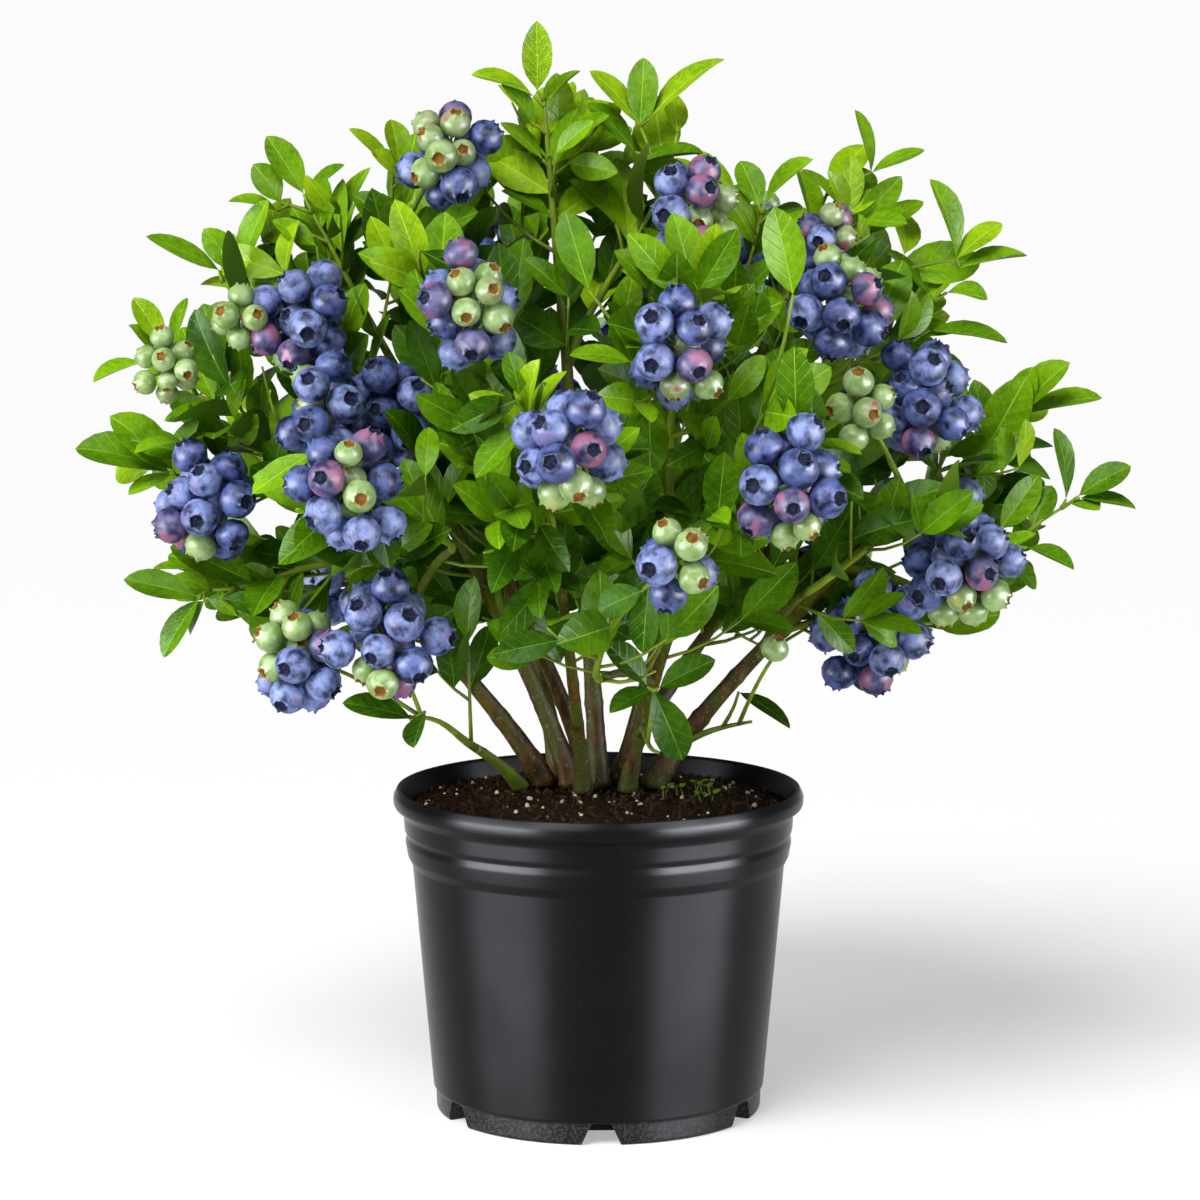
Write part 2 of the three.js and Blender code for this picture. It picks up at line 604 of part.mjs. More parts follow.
function growMass(mass, seed) {
  const random = seededRandom(seed);
  const shootEnd = mass.end.clone().addScaledVector(mass.heading, LEAF_SUNK - LEAF_LENGTH);
  const from = mass.start.clone().addScaledVector(mass.slope, mass.on ? 0 : CLEARANCE);
  const pull = from.distanceTo(shootEnd) * STEM_BEND;
  const leave = from.clone().addScaledVector(mass.slope, pull);
  const arrive = shootEnd.clone().addScaledVector(mass.heading, -pull);
  const curve = new THREE.CubicBezierCurve3(from, leave, arrive, shootEnd);
  const radiusAt = (t) => THREE.MathUtils.lerp(STEM_RADIUS, TWIG_TIP_RADIUS, t);
  const stem = { curve, radiusAt, wood: solidOf(taperedTube(curve, radiusAt, 3, 3)) };
  mass.kept = [stem.wood];
  const turn = 360 * random();
  for (const bunch of mass.bunches) growBunch(mass, stem, bunch, random);
  dressShoot(mass, stem, LEAVES_ON_STEM, LEAF_LENGTH, random, turn);
  for (let k = 0; k < TWIGS; k += 1) {
    growTwig(mass, stem, TWIG_FIRST + (TWIG_SPREAD * k) / TWIGS, turn + 70 + k * GOLDEN_ANGLE, random);
  }
  const grown = fuse(mass.kept);
  return mass.on ? fuse([grown.subtract(fattened(limbs[mass.on], CUT_MARGIN))]) : grown;
}

// ---- The plant ----

addNode("pot", geometryOf(makePot()), POT_PLASTIC);
addNode("soil", makeSoil(), SOIL_MIX);
for (const { name } of CANES) addNode(name, geometryOf(limbs[name].solid), BARK);
for (const { name } of BOUGHS) addNode(name, geometryOf(limbs[name].solid), YOUNG_BARK);
MASSES.forEach((mass, i) => addNode(mass.name, geometryOf(growMass(mass, 101 + i)), FOLIAGE));

export default plant;
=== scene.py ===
import functools
import math
import random
from types import SimpleNamespace

import bmesh
import bpy
import numpy as np
from mathutils import Euler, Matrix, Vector, noise


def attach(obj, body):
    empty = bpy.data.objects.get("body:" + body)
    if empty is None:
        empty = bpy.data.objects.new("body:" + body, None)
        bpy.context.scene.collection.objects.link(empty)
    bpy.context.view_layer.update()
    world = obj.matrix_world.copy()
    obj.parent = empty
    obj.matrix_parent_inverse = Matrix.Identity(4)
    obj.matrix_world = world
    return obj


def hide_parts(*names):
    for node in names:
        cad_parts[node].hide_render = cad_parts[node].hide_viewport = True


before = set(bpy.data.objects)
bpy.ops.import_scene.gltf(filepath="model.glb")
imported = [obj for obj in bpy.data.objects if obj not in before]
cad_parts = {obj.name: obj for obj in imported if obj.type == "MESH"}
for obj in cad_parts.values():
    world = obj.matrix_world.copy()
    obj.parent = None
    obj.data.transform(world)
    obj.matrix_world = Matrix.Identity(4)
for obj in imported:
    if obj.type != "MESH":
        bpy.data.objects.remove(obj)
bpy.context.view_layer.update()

MM = 0.001
UP = np.array([0.0, 0.0, 1.0])
LEVEL = np.array([1.0, 1.0, 0.0])
FULL_TURN = 2 * math.pi

# ---- Driving values of the pot and its soil ----

POT_FACETS = 144
POT_HEIGHT = 192
RIM_RADIUS = 120.5
WALL = 2.2
FLOOR = 15.5
FOOT_RADIUS = 96.2
FOOT_HEIGHT = 13.2
WALL_FOOT_RADIUS = 97.6
WALL_TOP_RADIUS = 109.4
BAND_FOOT = 146.6
BAND_GROOVE = 164
LIP_FOOT = 178
LIP_INNER_RADIUS = 116
NOTCHES = 6
NOTCH_TURN = -89
NOTCH_WIDTH = 22
NOTCH_TOP_WIDTH = 13.6
SOIL_CREST = 190
SOIL_CREST_RADIUS = 62
SOIL_EDGE = 182.5
SOIL_SIDES = 180
SOIL_RINGS = 56
SOIL_MIDDLE = 0.8  # radius of the innermost ring
SOIL_ROUGHNESS = 1.4
SOIL_CLODS = 1.1
POT_BLACK = (0.0022, 0.0022, 0.0028)
POT_SCUFF = (0.020, 0.020, 0.019)
# The foot ring below the wall: a lighter base with lighter speckles.
POT_FOOT_BLACK = (0.009, 0.009, 0.010)
POT_FOOT_SPECKLE = (0.050, 0.048, 0.050)
POT_GLOSS = 0.34  # roughness, which wanders by the next value
POT_GLOSS_DRIFT = 0.03

# ---- Driving values of the limbs ----

CLEARANCE = 0.3
CANE_LEAN = 1.2
CANE_TAPER = 0.8
GREEN_CANE_RADIUS = 3.5  # canes thinner than this are still green
LOW_LEFT_BEND = (-56, -7, 206)
LOW_LEFT_HEAD = (-71, -40, 221)
FLARE = 2.2
FLARE_HEIGHT = 16
CANE_TIP_RADIUS = 2.6
CANE_SIDES = 20
BOUGH_RADIUS = 2.9
BOUGH_TIP_RADIUS = 2.3
BOUGH_ARCH = 0.12
BOUGH_SIDES = 14
KNOT_SPACING = 33
KNOT_WIDTH = 0.006
KNOT_SIZE = 0.6
FURROW_DEPTH = 0.34
BARK_FLECK_HEIGHT = 1.2
FOOT_LOBES = 0.07  # how much a cane's foot strays from round
RING_STEP = 3.5  # between the rings of a cane's or bough's bark
STEM_LENGTH = 145
STEM_RADIUS = 2.6
STEM_BEND = 0.35
SIDE_STEM_RISE = 0.4
TWIG_TIP_RADIUS = 0.9

# ---- Driving values of the leaves and twigs ----

LEAF_LENGTH = 50
LEAF_ASPECT = 0.45
LEAF_GLOSS = 0.3  # roughness
VEINS = 6  # on each side of a blade
VEIN_SWEEP = 0.55
VEIN_WIDTH = 0.09
VEIN_PALENESS = 0.24
TWIG_LEAVES = (0.74, 1.02)  # shares of the full length on the side twigs
TWIG_LENGTH = 62
TWIGS_ON_STEM = 6
TWIG_ANGLE = 50
TWIG_FIRST = 0.06
TWIG_LAST = 0.72
TWIG_SHORTENING = 0.6
TWIG_LIFT = 0.15
TWIG_SAG = 0.25
FINER_TWIGS_FROM = 48  # length
FINER_TWIG_AT = 0.45  # share of the twig it leaves
FINER_TWIG_LENGTH = 0.5  # share of that twig's length
LEAF_SPACING = 13.5  # along a shoot
LEAF_ANGLE = 62
LEAF_TIP_ANGLE = 36
GOLDEN_ANGLE = 137.5
TIP_LEAVES = 2  # beside the leaf that ends a shoot
LIMB_SHOOT_SPACING = 36
LIMB_SHOOTS_FROM = 256  # height
LIMB_SHOOT_LENGTHS = (38, 62)
LEAF_GAP = 8.0
TIP_LEAF_GAPS = (3.5, 4.0)  # of a shoot's last leaf, and of those beside it
LIMB_GAPS = (4, 2)  # of leaves and of twigs
SKIRT = 268  # lowest leaf, but for masses with a skirt of their own
FACE_UP = 0.55
FACE_OUTWARD = 0.9
FACE_JITTER = 0.5
LEAF_BENDS = (0.15, 0.75)  # radians from foot to tip
SPRAY_BENDS = (0.2, 0.5)
LEAF_FOLDS = (0.12, 0.5)  # rise of each half for its breadth
LEAF_TWISTS = (-0.35, 0.35)  # radians from foot to tip
WIDTH_VARIATION = (0.88, 1.12)
FRONT_PULL = 230  # turns the faces of the front half towards the front
FRONT_DEPTH = 120
SPRAY_BACK_DEPTH = 60  # sprays behind this face backwards
SPRAY_TWIG_RADII = (1.4, 0.9)
FORK_BIAS = 0.75  # draws the forks of a spray towards the foot of its stem
AGE_STEPS = (1.2, 0.93, 0.62)  # scores above which a leaf is young, bright and green
AGE_BY_REACH = 1.1
AGE_BY_HEIGHT = 0.0016  # for each millimetre
AGE_HEIGHT = 430
AGE_JITTER = 0.22

# ---- Driving values of the fruit ----

BERRY_RADIUS = 10.9
UNRIPE_RADIUS = 8.6
BUNCH_TALLNESS = 1.3
BUNCH_SPREAD = 30
SETTLING_STEPS = 60
SETTLING_PULL = 0.05
BERRY_GAP = 0.3
BLOOMY_SHARE = 0.55  # of the ripe berries
UNRIPE_SHARE = 0.8  # of the green ones, and the rest blush
RIPE_SIZES = (0.9, 1.06)  # shares of the radius
PURPLE_SIZES = (0.86, 0.98)
UNRIPE_SIZES = (0.88, 1.1)
BUNCH_CLEARANCE = 33
VIEW_DEPTH = 130  # no leaf stands this near in front of a bunch,
VIEW_RADIUS = 27  # this near to the line to it

# ---- Seedlings on the soil ----

SEEDLINGS = 12
SEEDLING_PATCH = (54, -22)
SEEDLING_SPREAD = (17, 11)
SEEDLING_HEIGHTS = (4, 9)
SEEDLING_LEAVES = (4.5, 8)

# ---- Small helpers ----

def vector(*values):
    return np.array(values, float)


def unit(v):
    return v / max(np.linalg.norm(v), 1e-12)


def units(rows):
    return rows / np.maximum(np.linalg.norm(rows, axis=-1, keepdims=True), 1e-12)


def lerp(a, b, t):
    return a + (b - a) * t


def polar(turn, reach, height):
    angle = math.radians(turn)
    return vector(reach * math.cos(angle), reach * math.sin(angle), height)


def around(side, across, angle):
    """The direction at an angle in radians from side towards across."""
    return side * math.cos(angle) + across * math.sin(angle)


def circle(reach, height, sides):
    turns = [FULL_TURN * k / sides for k in range(sides)]
    return [(reach * math.cos(turn), reach * math.sin(turn), height) for turn in turns]


def arc(start, bend, end, t):
    return (1 - t) ** 2 * start + 2 * t * (1 - t) * bend + t * t * end


class Course:
    """A curve read by its share of length, with the frame that grows on it."""

    def __init__(self, point_of):
        self.point_of = point_of
        self.shares = np.linspace(0, 1, 201)
        steps = np.array([point_of(t) for t in self.shares])
        lengths = np.linalg.norm(np.diff(steps, axis=0), axis=1)
        self.lengths = np.concatenate([[0], np.cumsum(lengths)])
        self.length = self.lengths[-1]
        self.chord = point_of(1) - point_of(0)

    def parameter(self, share):
        return float(np.interp(share * self.length, self.lengths, self.shares))

    def at(self, share):
        return self.point_of(self.parameter(share))

    def tangent(self, share):
        t = self.parameter(share)
        return unit(self.point_of(min(t + 1e-4, 1)) - self.point_of(max(t - 1e-4, 0)))

    def frame(self, share):
        axis = self.tangent(share)
        side = np.cross(self.chord, UP)
        side = unit(side - axis * (axis @ side))
        return self.at(share), axis, side, np.cross(axis, side)


def line_course(start, end):
    return Course(lambda t: start + (end - start) * t)


def arc_course(start, bend, end):
    return Course(lambda t: arc(start, bend, end, t))


def long_arc_course(start, leave, arrive, end):
    return Course(lambda t: (1 - t) ** 3 * start + 3 * t * (1 - t) ** 2 * leave
                  + 3 * t * t * (1 - t) * arrive + t ** 3 * end)


def branch_direction(spot, angle, turn):
    _, axis, side, across = spot
    return around(axis, around(side, across, math.radians(turn)), math.radians(angle))


# ---- The crown's masses and limbs ----

CROWN_FOCUS = 215
CROWN_REACH = 316
CROWN_WIDEST = 385
CROWN_RISE = 264
CROWN_FALL = 205


def bunch(turn, reach, height, green=0.2, pink=0.1, green_side=90, berries=16, size=1.0):
    """A bunch's middle, its shares of green and pink berries, and the side of the green ones.

    The side is in degrees from the right as seen from outside, and size scales its berries.
    """
    return SimpleNamespace(middle=polar(turn, reach, height), green=green, pink=pink,
                           green_side=green_side, berries=berries, size=size)


def mass(name, tip, *fruit, rise=None, on=None, twigs=TWIGS_ON_STEM, shade=0, skirt=SKIRT,
         bare=False):
    """A mass by its furthest tip: degrees round the pot from +X, reach, and height.

    It grows along its rise where it has one, on is the limb it leaves and where, shade makes its
    leaves older, and skirt is its lowest leaf. A bare one has no twigs.
    """
    end = polar(*tip)
    if rise is None:
        heading = unit(end - UP * CROWN_FOCUS)
    else:
        heading = polar(tip[0], math.cos(math.radians(rise)), math.sin(math.radians(rise)))
    return SimpleNamespace(name=name, end=end, heading=heading,
                           start=end - heading * STEM_LENGTH, fruit=fruit, on=on, twigs=twigs,
                           shade=shade, skirt=skirt, bare=bare)


# Each cane's foot and radius, and the mass it leads to.
CANES = (
    ("cane_left", (-32, 13), 6, "leaves_left"),
    ("cane_low_left", (-46, 6), 3.2, "leaves_low_left"),
    ("cane_upper_left", (-16, 9), 5.8, "leaves_upper_left"),
    ("cane_high_left", (-6, 30), 5, "leaves_high_left"),
    ("cane_middle", (0, 6), 5.8, "leaves_top"),
    ("cane_high_right", (14, 15), 4.6, "leaves_high_right"),
    ("cane_right", (32, 5), 6.4, "leaves_right"),
    ("cane_low_right", (32, 28), 3.8, "leaves_low_right"),
    ("cane_front_left", (-9, -10), 4, "leaves_front"),
    ("cane_front_right", (17, -8), 4.2, "leaves_front_right"),
    ("cane_back_left", (-24, 38), 5.4, "leaves_back_left"),
    ("cane_back_right", (13, 38), 5.4, "leaves_back_right"),
)

# The cane each bough leaves and at which share of it, and the mass it leads to.
BOUGHS = (
    ("bough_front_left", "cane_left", 0.62, "leaves_front_left"),
    ("bough_far_left", "cane_upper_left", 0.66, "leaves_far_left"),
    ("bough_top_left", "cane_high_left", 0.8, "leaves_top_left"),
    ("bough_high_far_right", "cane_right", 0.6, "leaves_high_far_right"),
    ("bough_far_right", "cane_right", 0.82, "leaves_far_right"),
    ("bough_front_high", "cane_front_right", 0.62, "leaves_front_high"),
    ("bough_front_low", "cane_front_right", 0.4, "leaves_front_low"),
    ("bough_side_right", "cane_right", 0.5, "leaves_side_right"),
    ("bough_side_left", "cane_back_left", 0.5, "leaves_side_left"),
    ("bough_back_high_left", "cane_back_left", 0.62, "leaves_back_high_left"),
    ("bough_back", "cane_back_right", 0.6, "leaves_back"),
)

MASSES = (
    mass("leaves_top", (-164, 37, 643)),
    mass("leaves_top_right", (-10, 52, 620), on=("cane_middle", 0.8)),
    mass("leaves_upper_right", (-11, 105, 555), bunch(-48, 81, 529, 0.3, 0.35, 5),
         on=("cane_high_right", 0.72)),
    mass("leaves_high_right", (4, 152, 585), bunch(-27, 154, 481, 0.3, 0.2, 50)),
    mass("leaves_high_far_right", (2, 202, 543)),
    mass("leaves_right", (0, 284, 434), bunch(-18, 193, 424, 0.08, 0.05, -90)),
    mass("leaves_far_right", (-4, 310, 380), bunch(-21, 221, 329, 0.3, 0.15, -90, 22)),
    mass("leaves_low_right", (6, 245, 290), bunch(-2, 162, 282, 0.1, 0.05, -90, 20), rise=6,
         twigs=5, skirt=250),
    mass("leaves_side_right", (-26, 248, 401)),
    mass("leaves_front_right", (-61, 217, 462), bunch(-63, 225, 388, 0.2, 0.2, -100)),
    mass("leaves_front_high", (-70, 191, 526), bunch(-77, 195, 462, 0.22, 0.05, -50)),
    mass("leaves_front", (-101, 224, 456), bunch(-94, 230, 410, 0.25, 0.05, -60)),
    mass("leaves_front_high_left", (-128, 179, 537), bunch(-112, 184, 485, 0.35, 0.2, 25),
         on=("cane_front_left", 0.72)),
    mass("leaves_top_left", (-172, 136, 576), bunch(-155, 94, 562, 0.45, 0.05, 45)),
    mass("leaves_high_left", (180, 187, 569)),
    mass("leaves_upper_left", (180, 257, 513), bunch(-160, 178, 467, 0.06, 0.2, -90), rise=33),
    mass("leaves_far_left", (180, 290, 448), bunch(-167, 250, 443, 1, 0, 90, 12, 0.8), rise=24),
    mass("leaves_left", (-176, 304, 394), bunch(-165, 231, 364, 0.06, 0.12, -60), rise=17),
    mass("leaves_lower_left", (-167, 275, 316), rise=2, on=("cane_left", 0.8)),
    mass("leaves_front_left", (-135, 253, 391), bunch(-125, 233, 387, 0.25, 0.15, 30), rise=20),
    mass("leaves_low_left", (-131, 211, 256), bunch(-142, 211, 289, 0.45, 0.05, 90),
         bunch(-126, 197, 301, 0.15, 0.05, -90), rise=4, twigs=3, shade=1, skirt=215),
    mass("leaves_front_low", (-88, 240, 340), bunch(-80, 244, 355, 0.5, 0.05, 60, 8)),
    mass("leaves_low_front", (-77, 195, 243), on=("cane_front_right", 0.2), twigs=1, shade=1,
         skirt=204),
    mass("leaves_low_inner_right", (-12, 138, 242), bunch(-49, 150, 286, 1, 0, 90, 1),
         on=("cane_right", 0.13), bare=True, shade=1),
    mass("leaves_inner_left", (-142, 110, 440), on=("cane_upper_left", 0.4)),
    mass("leaves_inner_middle", (-80, 90, 400), on=("cane_middle", 0.3)),
    mass("leaves_inner_right", (25, 90, 400), on=("cane_middle", 0.4)),
    mass("leaves_back_right", (40, 270, 430), bunch(50, 225, 400)),
    mass("leaves_back", (75, 270, 470), bunch(85, 230, 430)),
    mass("leaves_back_left", (113, 264, 446), bunch(102, 220, 402)),
    mass("leaves_side_left", (148, 270, 420), bunch(137, 225, 380)),
    mass("leaves_back_high_right", (60, 150, 560), bunch(50, 150, 500),
         on=("cane_back_right", 0.75)),
    mass("leaves_back_high_left", (125, 160, 550), bunch(118, 150, 500, 0.3, 0.1, 90)),
    mass("leaves_low_back_right", (55, 235, 300), bunch(40, 190, 300),
         on=("cane_back_right", 0.45)),
    mass("leaves_low_back_left", (128, 235, 300), bunch(142, 190, 300),
         on=("cane_back_left", 0.45)),
)

# Small bunches that only show from near by, each on a mass's stem.
SIDE_BUNCHES = (
    ("leaves_upper_left", bunch(-161, 214, 471, 1, 0, 90, 6, 0.85)),
    ("leaves_side_right", bunch(-40, 190, 424, 1, 0, 90, 8, 0.95)),
    ("leaves_inner_left", bunch(-153, 132, 416, 0, 0, 90, 12)),
    ("leaves_front_left", bunch(-150, 178, 421, 0.15, 0, 90, 12)),
    ("leaves_high_right", bunch(-17, 136, 514, 0.3, 0.3, 90, 8, 0.9)),
    ("leaves_low_right", bunch(-12, 205, 352, 0.1, 0.05, 90, 9)),
)

# The crown's reach from its focus every 5 degrees round from the right, as seen from the front.
# Only the sprays go beyond it.
FRONT_REACH = (
    278, 257, 271, 215, 228, 246, 266, 254, 239, 236, 242, 210,
    190, 182, 182, 237, 224, 221, 224, 224, 242, 233, 212, 217,
    220, 228, 204, 242, 254, 247, 262, 249, 260, 274, 273, 267,
    287, 266, 251, 279, 270, 223, 237, 240, 217, 210, 204, 172,
    160, 150, 140, 126, 118, 114, 112, 112, 114, 116, 120, 124,
    124, 126, 134, 150, 208, 217, 226, 254, 253, 260, 258, 290,
)
REACH_FOCUS = 385
REACH_STEP = 5
REACH_SLACK = 2
EYE = (0.9, -2400, 625.4)

# Leaves in places of their own: their mass and depth, then for each leaf the places of its foot
# and tip (across and height), and how much of its breadth shows.
SPRAYS = (
    ("leaves_top", -10, ((-35, 597, -35, 637, 1), (-37, 594, -74, 607, 0.4),
      (-31, 590, -10, 609, 0.35), (-36, 578, -56, 602, 0.6), (-30, 559, 7, 584, 0.5),
      (-32, 558, -57, 580, 0.5), (-28, 526, -57, 541, 0.5))),
    ("leaves_top_right", -9, ((24, 577, 26, 617, 1), (23, 577, -6, 610, 0.6),
      (30, 582, 74, 617, 0.45), (21, 562, -7, 591, 0.6), (18, 546, 53, 553, 0.8),
      (15, 535, -11, 562, 0.5), (21, 555, 60, 562, 0.35), (10, 521, -17, 546, 0.5))),
    ("leaves_upper_right", -20, ((95, 533, 123, 560, 0.45), (92, 531, 81, 558, 0.9),
      (79, 535, 55, 564, 0.4), (98, 527, 117, 531, 0.3), (109, 481, 101, 531, 0.9))),
    ("leaves_high_right", 10, ((158, 550, 148, 586, 0.45), (159, 549, 189, 563, 0.35),
      (154, 534, 152, 554, 0.9), (147, 524, 117, 552, 0.4), (152, 512, 189, 533, 0.45),
      (146, 510, 136, 534, 0.7))),
    ("leaves_high_far_right", 5, ((207, 500, 191, 548, 0.55), (208, 498, 235, 521, 0.7),
      (209, 495, 249, 502, 0.4), (194, 476, 165, 507, 0.4), (196, 477, 200, 489, 0.8),
      (202, 481, 226, 477, 0.45), (192, 459, 237, 452, 0.4), (177, 441, 213, 439, 0.35))),
    ("leaves_right", 0, ((241, 409, 272, 442, 0.6), (240, 407, 251, 439, 0.9),
      (245, 410, 293, 421, 0.35), (224, 390, 218, 431, 0.8), (228, 393, 267, 391, 0.5),
      (226, 389, 265, 372, 0.5), (221, 387, 224, 361, 0.8))),
    ("leaves_far_right", -20, ((277, 365, 308, 383, 0.75), (278, 364, 311, 358, 0.4),
      (270, 363, 262, 407, 0.55), (273, 361, 288, 358, 0.35), (251, 347, 263, 370, 0.9),
      (248, 335, 276, 322, 0.5), (234, 328, 255, 310, 0.5))),
    ("leaves_top_left", -18, ((-117, 551, -143, 577, 0.45), (-114, 555, -119, 581, 0.8),
      (-113, 546, -130, 564, 0.5), (-103, 508, -141, 539, 0.85))),
    ("leaves_high_left", 0, ((-170, 538, -191, 571, 0.85), (-183, 533, -199, 556, 0.85),
      (-169, 536, -146, 555, 0.4), (-185, 528, -215, 534, 0.35), (-167, 515, -195, 511, 0.45),
      (-156, 499, -159, 516, 0.8), (-151, 497, -133, 526, 0.45))),
    ("leaves_upper_left", 0, ((-209, 493, -228, 519, 0.9), (-207, 491, -190, 535, 0.6),
      (-219, 494, -260, 514, 0.5), (-204, 483, -232, 486, 0.4), (-198, 478, -185, 513, 0.5))),
    ("leaves_far_left", 0, ((-252, 451, -270, 479, 0.9), (-246, 450, -239, 478, 0.5),
      (-258, 447, -273, 463, 0.45), (-264, 441, -292, 430, 0.45), (-220, 428, -221, 461, 0.7),
      (-208, 416, -209, 453, 0.8), (-216, 418, -252, 407, 0.5))),
    ("leaves_left", -21, ((-247, 379, -304, 394, 0.6), (-245, 380, -281, 414, 0.8),
      (-247, 377, -270, 367, 0.5), (-216, 386, -227, 413, 0.8))),
    ("leaves_lower_left", -62, ((-228, 312, -269, 323, 0.75), (-227, 311, -248, 277, 0.75),
      (-224, 310, -234, 288, 0.5), (-215, 311, -179, 302, 0.8))),
    ("leaves_low_left", -150, ((-102, 256, -141, 265, 0.6), (-95, 260, -101, 242, 0.6))),
    ("leaves_low_inner_right", -30, ((81, 252, 112, 232, 0.5),)),
    ("leaves_low_front", -150, ((30, 272, 47, 230, 0.98), (29, 270, 5, 260, 0.6),
      (33, 273, 64, 289, 0.8), (27, 274, 3, 300, 0.8))),
    ("leaves_front_high", -160, ((-5, 492, -18, 534, 1), (43, 489, 15, 524, 0.9),
      (54, 491, 75, 527, 1))),
    ("leaves_front_right", -185, ((104, 491, 93, 538, 0.99), (106, 420, 104, 466, 1))),
    ("leaves_front", -205, ((-42, 439, -48, 462, 0.8), (-42, 437, -80, 420, 0.95),
      (-41, 423, -65, 396, 0.9))),
    ("leaves_front_low", -215, ((27, 339, 24, 301, 0.95), (24, 336, 0, 324, 0.9))),
    ("leaves_front_left", -165, ((-155, 404, -187, 383, 0.8), (-124, 379, -113, 341, 0.9))),
    ("leaves_front_high_left", -150, ((-97, 513, -52, 486, 0.7), (-87, 470, -108, 492, 0.7))),
    ("leaves_back", 275, ((80, 436, 92, 400, 0.5), (76, 440, 112, 424, 0.5),
      (72, 442, 46, 424, 0.5), (72, 446, 60, 482, 0.5), (78, 444, 104, 466, 0.5))),
    ("leaves_top", 64, ((-30, 556, -44, 592, 1), (-22, 562, -8, 598, 1),
      (-28, 544, -64, 560, 0.9), (-14, 540, 22, 558, 0.9))),
    ("leaves_back_high_right", 118, ((62, 510, 40, 540, 1), (70, 520, 96, 540, 1),
      (66, 498, 104, 500, 0.9))),
    ("leaves_back_high_left", 126, ((-84, 512, -64, 540, 1), (-90, 520, -112, 536, 1),
      (-86, 500, -120, 498, 0.9))),
)

# ---- Meshes and pieces ----

def new_object(name, data):
    item = bpy.data.objects.new(name, data)
    bpy.context.scene.collection.objects.link(item)
    return item


def place(name, mesh, replaced=()):
    mesh.update()
    piece = new_object(name, mesh)
    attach(piece, "root")
    if replaced:
        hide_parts(*replaced)


def smooth(mesh, finishes, sharp=None):
    """Smooth faces with these finishes, but for edges sharper than the given angle."""
    for finish in finishes:
        mesh.materials.append(finish)
    mesh.polygons.foreach_set("use_smooth", [True] * len(mesh.polygons))
    if sharp:
        mesh.set_sharp_from_angle(angle=math.radians(sharp))


def mesh_from(body, name):
    mesh = bpy.data.meshes.new(name)
    body.to_mesh(mesh)
    body.free()
    return mesh


def baked(item, name):
    """The mesh that an object's modifiers make. The object itself goes."""
    mesh = bpy.data.meshes.new_from_object(
        item.evaluated_get(bpy.context.evaluated_depsgraph_get()))
    bpy.data.objects.remove(item)
    mesh.name = name
    return mesh


class Heap:
    """Faces gathered from many small shapes, made into one mesh."""

    def __init__(self):
        self.points, self.faces, self.slots, self.total = [], [], [], 0

    def add(self, points, faces, slots):
        """slots is one material number, or one for each face."""
        self.points.append(np.asarray(points, float))
        self.faces.extend([tuple(i + self.total for i in face) for face in faces])
        self.slots.extend([slots] * len(faces) if isinstance(slots, int) else slots)
        self.total += len(points)

    def piece(self, name, finishes, replaced=(), slot="foliage", sharp=None, layout=None):
        """layout has the places of the points on a blade."""
        mesh = bpy.data.meshes.new(name)
        mesh.from_pydata((np.concatenate(self.points) * MM).tolist(), [], self.faces)
        mesh.polygons.foreach_set("material_index", self.slots)
        if layout is not None:
            corners = np.zeros(len(mesh.loops), int)
            mesh.loops.foreach_get("vertex_index", corners)
            blade = mesh.uv_layers.new(name="blade")
            blade.data.foreach_set("uv", layout[corners].astype(np.float32).ravel())
        smooth(mesh, finishes, sharp)
        place(name, mesh, replaced)


@functools.lru_cache(maxsize=None)
def pod_faces(sides, rings):
    """Faces of a closed shape: a foot point, rings of points from foot to tip, and a tip point."""
    faces = [(0, 1 + (k + 1) % sides, 1 + k) for k in range(sides)]
    for low in range(1, 1 + sides * (rings - 1), sides):
        for k in range(sides):
            a, b = low + k, low + (k + 1) % sides
            faces.append((a, b, b + sides, a + sides))
    last = 1 + sides * (rings - 1)
    faces += [(last + sides, last + k, last + (k + 1) % sides) for k in range(sides)]
    return faces


def tube_points(course, radius_at, sides, shares):
    """radius_at takes the share and the turn round the tube, in radians."""
    points = [course.at(shares[0])]
    for share in shares:
        middle, _, side, across = course.frame(share)
        for k in range(sides):
            turn = FULL_TURN * k / sides
            points.append(middle + around(side, across, turn) * radius_at(share, turn))
    points.append(course.at(shares[-1]))
    return points


def add_tube(heap, course, foot_radius, tip_radius, sides, rings):
    shares = np.linspace(0, 1, rings)
    points = tube_points(course, lambda s, _: lerp(foot_radius, tip_radius, s), sides, shares)
    heap.add(points, pod_faces(sides, rings), 0)


def join_rings(mesh, rings, downward=False):
    """Quads between rings of points, and triangles at a ring of one point."""
    steps = ((0, 0), (1, 0), (1, 1), (0, 1)) if downward else ((0, 0), (0, 1), (1, 1), (1, 0))
    for pair in zip(rings, rings[1:]):
        for k in range(max(map(len, pair))):
            corners = [pair[ring][(k + on) % len(pair[ring])] for ring, on in steps]
            mesh.faces.new(list(dict.fromkeys(corners)))


# ---- Finishes ----

def add_node(tree, kind, inputs=(), **settings):
    """A node with its settings. Its inputs are values, or outputs of other nodes."""
    node = tree.nodes.new(kind)
    for key, value in settings.items():
        setattr(node, key, value)
    for key, value in dict(inputs).items():
        if isinstance(value, bpy.types.NodeSocket):
            tree.links.new(value, node.inputs[key])
        else:
            node.inputs[key].default_value = value
    return node


def step(tree, operation, *values):
    node = add_node(tree, "ShaderNodeMath", enumerate(values), operation=operation)
    return node.outputs[0]


def blend(tree, factor, low, high):
    """One colour into another, where each is a colour or an output."""
    low, high = ((*c, 1) if isinstance(c, tuple) else c for c in (low, high))
    return add_node(tree, "ShaderNodeMix", {"Factor": factor, 6: low, 7: high},
                    data_type="RGBA").outputs[2]


